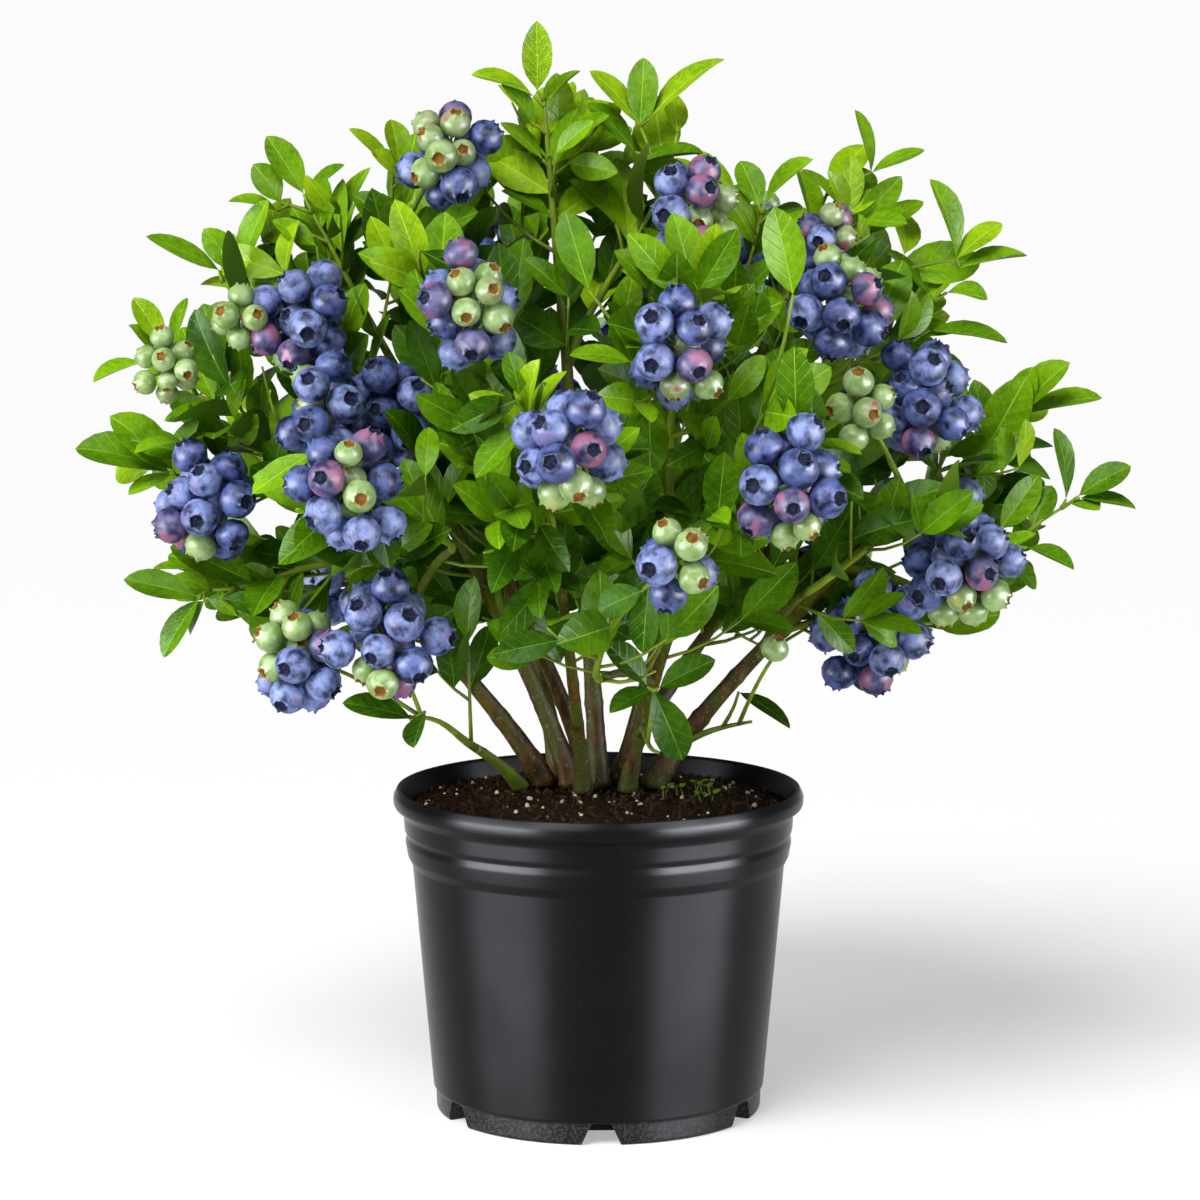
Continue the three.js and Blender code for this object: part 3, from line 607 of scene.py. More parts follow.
def speckle(tree, scale, detail=3.0, stretch=(1, 1, 1)):
    """Noise on the piece's own coordinates. scale is in cells for each metre."""
    coords = add_node(tree, "ShaderNodeTexCoord")
    mapping = add_node(tree, "ShaderNodeMapping",
                       {"Vector": coords.outputs["Object"], "Scale": stretch})
    grain = add_node(tree, "ShaderNodeTexNoise", {"Vector": mapping.outputs["Vector"],
                                                  "Scale": scale, "Detail": detail})
    return grain.outputs["Fac"]


def ramp(tree, source, *stops):
    """Two stops, each a position and a colour."""
    shades = add_node(tree, "ShaderNodeValToRGB", {"Fac": source})
    for element, (position, colour) in zip(shades.color_ramp.elements, stops):
        element.position, element.color = position, (*colour, 1)
    return shades.outputs["Color"]


def rise_between(tree, source, low, high):
    """0 below low and 1 above high."""
    return add_node(tree, "ShaderNodeMapRange", {"Value": source, "From Min": low,
                                                 "From Max": high}).outputs["Result"]


def own_height(tree):
    coords = add_node(tree, "ShaderNodeTexCoord")
    return add_node(tree, "ShaderNodeSeparateXYZ", {0: coords.outputs["Object"]}).outputs["Z"]


def add_bump(tree, shader, height, strength, distance):
    bump = add_node(tree, "ShaderNodeBump", {"Height": height, "Strength": strength,
                                             "Distance": distance})
    tree.links.new(bump.outputs["Normal"], shader.inputs["Normal"])


def scaled(colour, share):
    return tuple(share * c for c in colour)


BLACK, WHITE = (0, 0, 0), (1, 1, 1)


def new_finish(name, colour, roughness, shine, **sockets):
    finish = bpy.data.materials.new(name)
    finish.use_nodes = True
    shader = finish.node_tree.nodes["Principled BSDF"]
    shader.inputs["Base Color"].default_value = (*colour, 1)
    shader.inputs["Roughness"].default_value = roughness
    shader.inputs["Specular IOR Level"].default_value = shine
    for socket, value in sockets.items():
        shader.inputs[socket.replace("_", " ")].default_value = value
    return finish, finish.node_tree, shader


def mixed_finish(name, dark, light, roughness, shine, cells, bump=0.0, depth=0.0005):
    """A finish that wanders between two shades, with a fine relief of its own."""
    finish, tree, shader = new_finish(name, light, roughness, shine)
    shades = ramp(tree, speckle(tree, cells), (0.3, dark), (0.7, light))
    tree.links.new(shades, shader.inputs["Base Color"])
    if bump:
        add_bump(tree, shader, speckle(tree, cells * 3), bump, depth)
    return finish


# Each age of leaf: the blade from dark to light, the midrib, the underside.
LEAF_SHADES = {
    "young": ((0.20, 0.40, 0.004), (0.34, 0.56, 0.008), (0.45, 0.62, 0.07), (0.22, 0.38, 0.02)),
    "bright": ((0.12, 0.29, 0.003), (0.21, 0.43, 0.006), (0.34, 0.53, 0.05), (0.16, 0.32, 0.02)),
    "green": ((0.055, 0.165, 0.002), (0.115, 0.27, 0.004), (0.24, 0.41, 0.03),
              (0.11, 0.23, 0.02)),
    "dark": ((0.022, 0.080, 0.0015), (0.055, 0.155, 0.003), (0.15, 0.29, 0.025),
             (0.075, 0.165, 0.015)),
}


def blade_finish(name, dark, light, vein):
    """Two shades that wander over the blades, with paler sunken veins that follow each blade."""
    finish, tree, shader = new_finish(name, light, LEAF_GLOSS, 0.032)
    layout = add_node(tree, "ShaderNodeUVMap", uv_map="blade")
    split = add_node(tree, "ShaderNodeSeparateXYZ", {0: layout.outputs["UV"]})
    aside = step(tree, "ABSOLUTE", step(tree, "SUBTRACT", split.outputs["Y"], 0.5))
    run = step(tree, "MULTIPLY_ADD", aside, -VEIN_SWEEP, split.outputs["X"])
    wave = step(tree, "PINGPONG", step(tree, "MULTIPLY", step(tree, "ADD", run, 1.0), VEINS), 0.5)
    line = step(tree, "SUBTRACT", 1.0, step(tree, "DIVIDE", wave, VEIN_WIDTH))
    mask = add_node(tree, "ShaderNodeClamp", {"Value": line}).outputs["Result"]
    mottled = step(tree, "MULTIPLY_ADD", speckle(tree, 330, 4), 0.4,
                   step(tree, "MULTIPLY", speckle(tree, 45), 0.6))
    blade = ramp(tree, mottled, (0.36, scaled(dark, 0.8)), (0.64, light))
    veined = blend(tree, step(tree, "MULTIPLY", mask, VEIN_PALENESS), blade, vein)
    tree.links.new(veined, shader.inputs["Base Color"])
    relief = step(tree, "MULTIPLY_ADD", mask, -0.3, speckle(tree, 180, 2))
    add_bump(tree, shader, relief, 0.55, 0.0006)
    return finish


def leaf_finishes():
    finishes = []
    for age, (dark, light, rib, under) in LEAF_SHADES.items():
        finishes += [blade_finish("leaf_" + age, dark, light, rib),
                     mixed_finish("leaf_rib_" + age, light, rib, 0.5, 0.05, 60),
                     mixed_finish("leaf_under_" + age, scaled(under, 0.8), under, 0.6, 0.03, 45,
                                  0.25)]
    return finishes


def bark_finish(name, brown, olive, fleck, green, green_from, green_to):
    """Brown bark with olive patches and pale flecks below, and green young bark above.

    The green comes in between two heights in metres.
    """
    finish, tree, shader = new_finish(name, brown, 0.55, 0.05)
    streaks = speckle(tree, 200, 4, (1, 1, 0.22))
    patches = ramp(tree, speckle(tree, 70, 4, (1, 1, 0.4)), (0.46, BLACK), (0.55, WHITE))
    flecks = ramp(tree, speckle(tree, 520, 2, (1, 1, 0.7)), (0.62, BLACK), (0.67, WHITE))
    furrowed = ramp(tree, streaks, (0.36, scaled(brown, 0.2)), (0.6, brown))
    bark = blend(tree, flecks, blend(tree, patches, furrowed, olive), fleck)
    patchy = step(tree, "MULTIPLY_ADD", speckle(tree, 40, 3), 0.16, own_height(tree))
    young = ramp(tree, streaks, (0.3, scaled(green, 0.55)), (0.7, green))
    shades = blend(tree, rise_between(tree, patchy, green_from, green_to), bark, young)
    tree.links.new(shades, shader.inputs["Base Color"])
    add_bump(tree, shader, streaks, 0.9, 0.0012)
    return finish


def berry_finish(name, skin, bloom, blush, roughness, blush_from=0.62):
    """Skin under a patchy powdery bloom, with a few blushed patches."""
    finish, tree, shader = new_finish(name, bloom, roughness, 0.14)
    patches = ramp(tree, speckle(tree, 150, 4), (0.36, skin), (0.62, bloom))
    spots = ramp(tree, speckle(tree, 75, 2), (blush_from, BLACK), (blush_from + 0.1, WHITE))
    tree.links.new(blend(tree, spots, patches, blush), shader.inputs["Base Color"])
    add_bump(tree, shader, speckle(tree, 900, 2), 0.15, 0.0002)
    return finish


def pot_finish():
    """Moulded plastic whose shine runs up and down the wall, lighter and speckled at its foot."""
    finish, tree, shader = new_finish("black_pot_plastic", POT_BLACK, POT_GLOSS, 0.09,
                                      Anisotropic=0.75, Anisotropic_Rotation=0.25)
    tangent = add_node(tree, "ShaderNodeTangent", direction_type="RADIAL", axis="Z")
    tree.links.new(tangent.outputs["Tangent"], shader.inputs["Tangent"])
    gloss = ramp(tree, speckle(tree, 30, 5), (0.3, (POT_GLOSS - POT_GLOSS_DRIFT,) * 3),
                 (0.7, (POT_GLOSS + POT_GLOSS_DRIFT,) * 3))
    tree.links.new(gloss, shader.inputs["Roughness"])
    clean = ramp(tree, speckle(tree, 700, 3), (0.66, POT_BLACK), (0.8, POT_SCUFF))
    # Lighter speckles over a lighter base on the foot ring only.
    foot_speckles = ramp(tree, speckle(tree, 640, 4), (0.46, POT_FOOT_BLACK), (0.68, POT_FOOT_SPECKLE))
    wall = rise_between(tree, own_height(tree), (FOOT_HEIGHT - 0.5) * MM,
                        (FOOT_HEIGHT + 0.5) * MM)
    tree.links.new(blend(tree, wall, foot_speckles, clean), shader.inputs["Base Color"])
    add_bump(tree, shader, speckle(tree, 420, 3), 0.1, 0.0003)
    return finish


# ---- Courses of the masses and limbs ----

masses = {one.name: one for one in MASSES}
OPEN_SPACE = SimpleNamespace(shade=0, skirt=SKIRT)  # for shoots that belong to no mass


def cane_course(foot, head):
    def point(t):
        lean = t ** CANE_LEAN
        return vector(lerp(foot[0], head[0], lean), lerp(foot[1], head[1], lean),
                      lerp(foot[2], head[2], t))
    return Course(point)


limbs = {}
for name, foot, base, led in CANES:
    course = cane_course(vector(*foot, SOIL_CREST + CLEARANCE), masses[led].start)

    def cane_radius(share, course=course, base=base):
        flare = FLARE * math.exp(-share * course.length / FLARE_HEIGHT)
        return lerp(base, CANE_TIP_RADIUS, share ** CANE_TAPER) + flare

    limbs[name] = SimpleNamespace(course=course, radius=cane_radius)
    masses[led].slope = course.tangent(1)

for name, cane, share, led in BOUGHS:
    start, end = limbs[cane].course.at(share), masses[led].start
    bend = (start + end) / 2 + UP * (np.linalg.norm(end - start) * BOUGH_ARCH)
    course = arc_course(start, bend, end)
    limbs[name] = SimpleNamespace(
        course=course, radius=lambda share: lerp(BOUGH_RADIUS, BOUGH_TIP_RADIUS, share))
    masses[led].slope = course.tangent(1)

for one in MASSES:
    if one.on:
        limb, share = one.on
        one.start = limbs[limb].course.at(share)
        one.slope = unit(unit(one.end - one.start) + UP * SIDE_STEM_RISE)


# ---- Spaces of the masses ----

WALL_STEPS = 120
BUNCH_CORE = 30  # half the size of a bunch, kept inside its mass's space
WALL_SLACK = 5.0  # leaves may stand out of their space by this


def nearest_points(corners_a, corners_b):
    """The points where two hulls are nearest, found by steps towards the nearest corners."""
    a, b = corners_a[0].copy(), corners_b[0].copy()
    for _ in range(WALL_STEPS):
        apart = a - b
        next_a = corners_a[np.argmin(corners_a @ apart)]
        next_b = corners_b[np.argmax(corners_b @ apart)]
        change = next_a - next_b - apart
        share = min(max(-(apart @ change) / max(change @ change, 1e-9), 0), 1)
        a = lerp(a, next_a, share)
        b = lerp(b, next_b, share)
    return a, b


def core_of(one):
    corners = [one.start, one.end]
    for fruit in one.fruit:
        corners += [fruit.middle + side * BUNCH_CORE
                    for side in np.vstack([np.eye(3), -np.eye(3)])]
    return np.array(corners)


cores = [core_of(one) for one in MASSES]
walls = [[] for _ in MASSES]
for i in range(len(MASSES)):
    for j in range(i + 1, len(MASSES)):
        own, far = nearest_points(cores[i], cores[j])
        outward = unit(far - own)
        reach = outward @ (own + far) / 2
        walls[i].append((outward, reach))
        walls[j].append((-outward, -reach))
for one, own_walls in zip(MASSES, walls):
    one.wall_facings = np.array([outward for outward, _ in own_walls])
    one.wall_reaches = np.array([reach for _, reach in own_walls])

# The low left stem bows outward early on, and its two solids meet at an angle.
low_left, low_left_mass = limbs["cane_low_left"], masses["leaves_low_left"]
low_left_mass.start = vector(*LOW_LEFT_HEAD)
low_left.course = arc_course(low_left.course.at(0), vector(*LOW_LEFT_BEND),
                             low_left_mass.start)
low_left_mass.slope = low_left.course.tangent(1)


def crown_share(points):
    """1 at the crown's outer reach, 0 at its middle."""
    points = np.atleast_2d(points)
    height = points[:, 2] - CROWN_WIDEST
    height = np.where(height > 0, height / CROWN_RISE, height / CROWN_FALL)
    reach = np.hypot(points[:, 0], points[:, 1]) / CROWN_REACH
    return np.hypot(reach, height)


def in_space(one, points, slack):
    points = np.atleast_2d(points)
    if crown_share(points).max() > 1 or points[:, 2].min() < SOIL_CREST + 1:
        return False
    if one is OPEN_SPACE:
        return True
    beyond = points @ one.wall_facings.T - one.wall_reaches
    return beyond.max() < slack


# ---- What already stands in the crown ----

LIMB_SHARES = np.linspace(0.02, 1, 60)
OPEN_SIDE_PULL = 90  # turns the open sides of the front bunches towards the front
OPEN_SIDE_DEPTH = 60
CELL = 10.0

limb_points = np.array([limb.course.at(s) for limb in limbs.values() for s in LIMB_SHARES])
limb_radii = np.array([limb.radius(s) for limb in limbs.values() for s in LIMB_SHARES])
all_bunches = np.array([fruit.middle for one in MASSES for fruit in one.fruit]
                       + [fruit.middle for _, fruit in SIDE_BUNCHES])
open_sides = units(all_bunches * LEVEL + vector(0, -OPEN_SIDE_PULL, 0)
                   * (all_bunches[:, 1:2] < OPEN_SIDE_DEPTH))
leaf_cells = {}


def cell_of(point):
    return tuple((point // CELL).astype(int))


def crowded(points, gap):
    steps = (-1, 0, 1)
    for point in points:
        x, y, z = cell_of(point)
        near = [other for dx in steps for dy in steps for dz in steps
                for other in leaf_cells.get((x + dx, y + dy, z + dz), ())]
        if any(np.abs(other - point).max() < gap and np.linalg.norm(other - point) < gap
               for other in near):
            return True
    return False


def keep_points(points):
    for point in points:
        leaf_cells.setdefault(cell_of(point), []).append(point)


def meets_limb(points, gap):
    away = np.linalg.norm(limb_points[:, None] - np.array(points), axis=2)
    return (away < limb_radii[:, None] + gap).any()


def hides_fruit(points):
    """True where a leaf would stand in a bunch or right in front of it."""
    for point in points:
        away = point - all_bunches
        along = (away * open_sides).sum(1)
        aside = np.linalg.norm(away - open_sides * along[:, None], axis=1)
        if (np.linalg.norm(away, axis=1) < BUNCH_CLEARANCE).any():
            return True
        if ((along > 0) & (along < VIEW_DEPTH) & (aside < VIEW_RADIUS)).any():
            return True
    return False


def beyond_outline(points):
    """True where a leaf would show beyond the front outline."""
    eye = vector(*EYE)
    points = np.array(points)
    seen = eye + (points - eye) * (eye[1] / (eye[1] - points[:, 1:2]))
    turn = np.degrees(np.arctan2(seen[:, 2] - REACH_FOCUS, seen[:, 0])) % 360
    reach = np.interp(turn, np.arange(0, 361, REACH_STEP), FRONT_REACH + FRONT_REACH[:1])
    return bool((np.hypot(seen[:, 0], seen[:, 2] - REACH_FOCUS) > reach + REACH_SLACK).any())


# ---- Leaves ----

LEAF_STATIONS = (0.05, 0.13, 0.25, 0.4, 0.56, 0.71, 0.84, 0.94)
LEAF_BREADTHS = (0.1, 0.38, 0.71, 0.94, 1.0, 0.92, 0.69, 0.37)  # half widths at the stations
LEAF_KINDS = (0, 1, 0, 2, 2)  # blade, midrib, blade, and the two halves of the underside
RIB_BREADTH = 0.032
RIB_LIFT = 0.004
UNDERSIDE_LIFT = -0.012

leaves = {key: [] for key in ("root", "along", "face", "length", "width", "bend", "fold",
                              "twist", "age")}


def add_leaf(root, direction, face, length, width, bend, age, rng):
    fold, twist = rng.uniform(*LEAF_FOLDS), rng.uniform(*LEAF_TWISTS)
    for values, value in zip(leaves.values(),
                             (root, direction, face, length, width, bend, fold, twist, age)):
        values.append(value)


def try_leaf(one, spot, direction, length, age, rng, gap):
    """Adds a leaf where it has room and neither hides fruit nor breaks the outline."""
    root = spot[0]
    front = FRONT_PULL if root[1] < FRONT_DEPTH else 0
    outward = unit(root * LEVEL - vector(0, front, 0) + 1e-6)
    jitter = vector(*(rng.uniform(-1, 1) for _ in range(3)))
    face = UP * FACE_UP + outward * FACE_OUTWARD + jitter * FACE_JITTER
    face = unit(face - direction * (face @ direction))
    across = np.cross(face, direction)
    bend = rng.uniform(*LEAF_BENDS)
    droop = -0.5 * bend * length
    width = length * LEAF_ASPECT * rng.uniform(*WIDTH_VARIATION)
    middle = root + direction * (0.5 * length) + face * (droop * 0.22)
    tip = root + direction * (0.95 * length) + face * (droop * 0.9)
    if min(middle[2], tip[2]) < one.skirt:
        return False
    samples = [middle, tip, root + direction * (0.25 * length),
               middle + across * (width * 0.42), middle - across * (width * 0.42)]
    if not in_space(one, np.array(samples), WALL_SLACK) or hides_fruit(samples[:3]):
        return False
    outline = [root + direction * (k * length) + face * (droop * k * k)
               + across * (side * width * 0.4 * math.sin(math.pi * k))
               for k in (0.15, 0.35, 0.55, 0.75, 0.97) for side in (-1, 1)]
    if (beyond_outline(outline) or meets_limb(samples[:2], LIMB_GAPS[0])
            or crowded(samples[:3], gap)):
        return False
    keep_points(samples[:3])
    add_leaf(root, direction, face, length, width, bend, age, rng)
    return True


def leaf_template():
    """Rows of share of length, side share and lift."""
    points = [(0.0, 0.0, 0.0)]
    for x, w in zip(LEAF_STATIONS, LEAF_BREADTHS):
        rib = min(RIB_BREADTH, 0.5 * w)
        points += [(x, -w, 0.0), (x, -rib, RIB_LIFT), (x, rib, RIB_LIFT), (x, w, 0.0),
                   (x, 0.0, UNDERSIDE_LIFT)]
    return np.array(points + [(1.0, 0.0, 0.0)])


def make_leaves(name, chosen, finishes, replaced):
    """All chosen leaves at once, each bent, folded and twisted in its own way."""
    template = leaf_template()
    get = {key: np.array([values[i] for i in chosen]) for key, values in leaves.items()}
    x, y, lift = template.T
    across = np.cross(get["face"], get["along"])
    bend = get["bend"][:, None] + 1e-4
    forward = np.sin(bend * x) / bend
    sink = (1 - np.cos(bend * x)) / bend
    half = get["width"][:, None] / 2 * y
    roll = get["twist"][:, None] * (x - 0.3)
    rise = get["fold"][:, None] * np.abs(half)
    side = half * np.cos(roll) - rise * np.sin(roll)
    rise = rise * np.cos(roll) + half * np.sin(roll)
    length = get["length"][:, None]
    height = rise - sink * length + lift * length
    points = (get["root"][:, None]
              + get["along"][:, None] * (forward * length)[..., None]
              + across[:, None] * side[..., None]
              + get["face"][:, None] * height[..., None])
    kinds = np.array(LEAF_KINDS * (len(LEAF_STATIONS) + 1))
    slots = get["age"].astype(int)[:, None] * 3 + kinds[None, :]
    heap = Heap()
    for blade, blade_slots in zip(points, slots.tolist()):
        heap.add(blade, pod_faces(len(LEAF_KINDS), len(LEAF_STATIONS)), blade_slots)
    layout = np.tile(np.stack([x, 0.5 + 0.5 * y], 1), (len(chosen), 1))
    heap.piece(name, finishes, replaced, "foliage", 70, layout)


# ---- Shoots ----

twig_heap, stalk_heap, berry_heap = Heap(), Heap(), Heap()


def age_of(point, one, rng):
    """Leaves are youngest at the crown's top and outer reach."""
    share = float(crown_share(point)[0])
    score = AGE_BY_REACH * share + AGE_BY_HEIGHT * (point[2] - AGE_HEIGHT)
    score += rng.uniform(-AGE_JITTER, AGE_JITTER)
    return min(sum(score <= limit for limit in AGE_STEPS) + one.shade, 3)


def dress_shoot(one, course, first, size, age, rng):
    """Leaves at the golden angle, closer to the shoot's line towards its tip, and at its tip."""
    count = max(2, int(course.length * (1 - first) / LEAF_SPACING))
    turn = rng.uniform(0, 360)
    end = course.frame(1)
    before = len(leaves["root"])
    tip_age = max(age - 1, 0)
    tip_size = size * rng.uniform(0.85, 1.0)
    try_leaf(one, end, unit(end[1] + 0.12 * UP), tip_size, tip_age, rng, TIP_LEAF_GAPS[0])
    for k in range(TIP_LEAVES):
        direction = branch_direction(end, rng.uniform(34, 52), turn + k * 120)
        try_leaf(one, end, direction, size * rng.uniform(0.65, 0.9), tip_age, rng,
                 TIP_LEAF_GAPS[1])
    for k in range(count - 1, -1, -1):
        share = first + (1 - first) * (k + 0.3) / count
        spot = course.frame(share)
        angle = lerp(LEAF_ANGLE, LEAF_TIP_ANGLE, share) + rng.uniform(-7, 7)
        length = size * rng.uniform(0.85, 1.15)
        for extra in (0, 70, -70):
            direction = branch_direction(spot, angle, turn + k * GOLDEN_ANGLE + extra)
            if try_leaf(one, spot, direction, length, age, rng, LEAF_GAP):
                break
    return len(leaves["root"]) - before


def grow_twig(one, course, share, radius, turn, length, rng, finer=True):
    """A leafy twig at the first turn where it has room. Returns how many leaves grew."""
    spot = course.frame(share)
    for extra in (0, 60, -60, 120):
        direction = branch_direction(spot, TWIG_ANGLE + rng.uniform(-8, 8), turn + extra)
        direction = unit(direction + TWIG_LIFT * UP)
        end = spot[0] + direction * length
        bend = spot[0] + unit(direction - TWIG_SAG * UP) * (length * 0.5)
        twig = arc_course(spot[0], bend, end)
        line = np.array([twig.at(s) for s in (0.4, 0.7, 1)])
        if not in_space(one, line, 0) or hides_fruit(line) or meets_limb(line, LIMB_GAPS[1]):
            continue
        foot = max(radius * 0.55, TWIG_TIP_RADIUS * 1.2)
        age = age_of(end, one, rng)
        grown = 0
        if finer and length > FINER_TWIGS_FROM:
            grown = grow_twig(one, twig, FINER_TWIG_AT, foot, rng.uniform(0, 360),
                              length * FINER_TWIG_LENGTH, rng, False)
        grown += dress_shoot(one, twig, 0.22, LEAF_LENGTH * rng.uniform(*TWIG_LEAVES), age, rng)
        if grown:
            add_tube(twig_heap, twig, foot, TWIG_TIP_RADIUS * 0.8, 5, 4)
        return grown
    return 0


def grow_stem(one):
    """The twig that carries a mass, from its limb to the shoot at its furthest tip."""
    shoot_end = one.end - one.heading * (LEAF_LENGTH * 0.95)
    pull = np.linalg.norm(shoot_end - one.start) * STEM_BEND
    one.stem = long_arc_course(one.start, one.start + one.slope * pull,
                               shoot_end - one.heading * pull, shoot_end)
    add_tube(twig_heap, one.stem, STEM_RADIUS, TWIG_TIP_RADIUS, 7, 9)


def grow_spray(one, depth, blades, seed):
    """Leaves in places of their own, on twigs from the nearest part of the mass's stem."""
    rng = random.Random(seed)
    joints = [one.stem.at(0.04 * k) for k in range(1, 26)]
    outward = vector(0, 1 if depth > SPRAY_BACK_DEPTH else -1, 0)
    for foot_x, foot_z, tip_x, tip_z, breadth in blades:
        root = vector(foot_x, depth, foot_z)
        tip = vector(tip_x, depth + rng.uniform(-14, 14), tip_z)
        reach = np.linalg.norm(root - one.start)
        inner = [joint for joint in joints if np.linalg.norm(joint - one.start) < reach + 2]
        joint = min(inner, key=lambda point: np.linalg.norm(point - root)
                    + FORK_BIAS * np.linalg.norm(point - one.start))
        far = np.linalg.norm(root - joint)
        if far > 3:
            sag = unit(unit(root - one.start) * 0.5 - UP * 0.2) * (0.12 * far)
            twig = arc_course(joint, (joint + root) / 2 + sag, root)
            add_tube(twig_heap, twig, *SPRAY_TWIG_RADII, 5, 4)
            joints += [twig.at(share) for share in (0.25, 0.5, 0.75, 1)]
        else:
            root = joint
        length = np.linalg.norm(tip - root)
        direction = unit(tip - root)
        bend = rng.uniform(*SPRAY_BENDS)
        aside = np.cross(direction, outward)
        aside = unit(aside) * (1 if aside[2] > 0 else -1)
        face = unit(outward * breadth + aside * math.sqrt(1 - breadth ** 2))
        face = unit(face - direction * (face @ direction))
        direction = unit(direction + face * (0.5 * bend))
        width = max(length, 0.75 * LEAF_LENGTH) * LEAF_ASPECT * rng.uniform(0.95, 1.1)
        keep_points([root + (tip - root) * share for share in (0.25, 0.5, 0.95)])
        age = age_of(tip, one, rng)
        add_leaf(root, direction, face, length * 1.02, width, bend, age, rng)


def grow_mass(one, seed):
    """Leaves on a mass's stem, and twigs at the golden angle round it."""
    if one.bare:
        return
    rng = random.Random(seed)
    stem, twigs = one.stem, one.twigs
    age = age_of(one.end, one, rng)
    dress_shoot(one, stem, 0.2, LEAF_LENGTH * 1.05, age, rng)
    turn = rng.uniform(0, 360)
    for k in range(twigs):
        share = TWIG_FIRST + (TWIG_LAST - TWIG_FIRST) * k / twigs
        length = TWIG_LENGTH * rng.uniform(0.85, 1.15) * (1 - TWIG_SHORTENING * share)
        grow_twig(one, stem, share, lerp(STEM_RADIUS, TWIG_TIP_RADIUS, share),
                  turn + k * GOLDEN_ANGLE, length, rng)


def grow_limb_shoots(limb, seed):
    """Short leafy shoots low on the limbs, inside the crown."""
    rng = random.Random(seed)
    course = limb.course
    count = int(course.length / LIMB_SHOOT_SPACING)
    turn = rng.uniform(0, 360)
    for k in range(count):
        share = (k + 0.5) / count
        if course.at(share)[2] < LIMB_SHOOTS_FROM:
            continue
        grow_twig(OPEN_SPACE, course, share, limb.radius(share) * 0.6,
                  turn + k * GOLDEN_ANGLE, rng.uniform(*LIMB_SHOOT_LENGTHS), rng, False)


# ---- Fruit ----

BERRY_SIDES = 20
CALYX_LOBES = 5
BERRY_FLATNESS = 0.88
BERRY_RINGS = (152, 126, 100, 76, 54, 34)  # degrees from the calyx
# Reach and height of the calyx's lobes, then of the dips between them, from its rim to its floor
CALYX_RINGS = ((0.47, 0.97, 0.40, 0.84), (0.40, 0.96, 0.35, 0.83), (0.27, 0.70, 0.27, 0.70))
CALYX_FLOOR = 0.73
# The hollow kind marks the crater's walls and floor. Their darker finish is partly the calyx's own
# colour and partly painted shade in the crater.
SKIN, RIM, SHADED_HOLLOW = 0, 1, 2
RIPE, BLOOMY, PURPLE, BLUSH, UNRIPE, CALYX = range(6)  # CALYX and on: two for ripe, two for green


def berry_template():
    """A berry with its stalk end down and its star-shaped calyx up, of radius 1."""
    points = [(0, 0, -0.86)]
    for degrees in BERRY_RINGS:
        angle = math.radians(degrees)
        points += circle(math.sin(angle), BERRY_FLATNESS * math.cos(angle), BERRY_SIDES)
    for lobe_reach, lobe_height, dip_reach, dip_height in CALYX_RINGS:
        lobes = circle(lobe_reach, lobe_height, BERRY_SIDES)
        dips = circle(dip_reach, dip_height, BERRY_SIDES)
        points += [dips[k] if k % (BERRY_SIDES // CALYX_LOBES) else lobes[k]
                   for k in range(BERRY_SIDES)]
    points.append((0, 0, CALYX_FLOOR))
    bands = (SKIN,) * (len(BERRY_RINGS) + 1) + (RIM,) + (SHADED_HOLLOW,) * (len(CALYX_RINGS) - 1)
    return np.array(points, float), np.repeat(bands, BERRY_SIDES).tolist()


BERRY_POINTS, BERRY_KINDS = berry_template()
BERRY_FACES = pod_faces(BERRY_SIDES, len(BERRY_RINGS) + len(CALYX_RINGS))


def add_berry(centre, outward, radius, finish, rng):
    axis = unit(outward)
    side = unit(np.cross(axis, vector(0.3, 0.5, 0.8)))
    across = np.cross(axis, side)
    spin = rng.uniform(0, FULL_TURN)
    side, across = around(side, across, spin), around(across, -side, spin)
    points = centre + radius * (BERRY_POINTS @ np.array([side, across, axis]))
    rim = CALYX if finish < BLUSH else CALYX + 2
    berry_heap.add(points, BERRY_FACES, [(finish, rim, rim + 1)[kind] for kind in BERRY_KINDS])


def ball_directions(count):
    """Even directions over a ball."""
    ks = np.arange(count) + 0.5
    z = 1 - 2 * ks / count
    turn = math.pi * (1 + 5 ** 0.5) * ks
    r = np.sqrt(1 - z * z)
    return np.stack([r * np.cos(turn), r * np.sin(turn), z], 1)


def settle(middle, radii, directions):
    """Packs balls round a middle: each is drawn in, and pushed off the balls it meets."""
    stretch = vector(1, 1, BUNCH_TALLNESS)
    centres = directions * BUNCH_SPREAD * stretch
    for _ in range(SETTLING_STEPS):
        centres = centres * (1 - SETTLING_PULL / stretch)
        apart = centres[:, None] - centres[None, :]
        far = np.linalg.norm(apart, axis=2) + np.eye(len(radii)) * 1e3
        short = np.maximum(radii[:, None] + radii[None, :] + BERRY_GAP - far, 0)
        centres = centres + (apart / far[..., None] * short[..., None] * 0.5).sum(1)
    return middle + centres


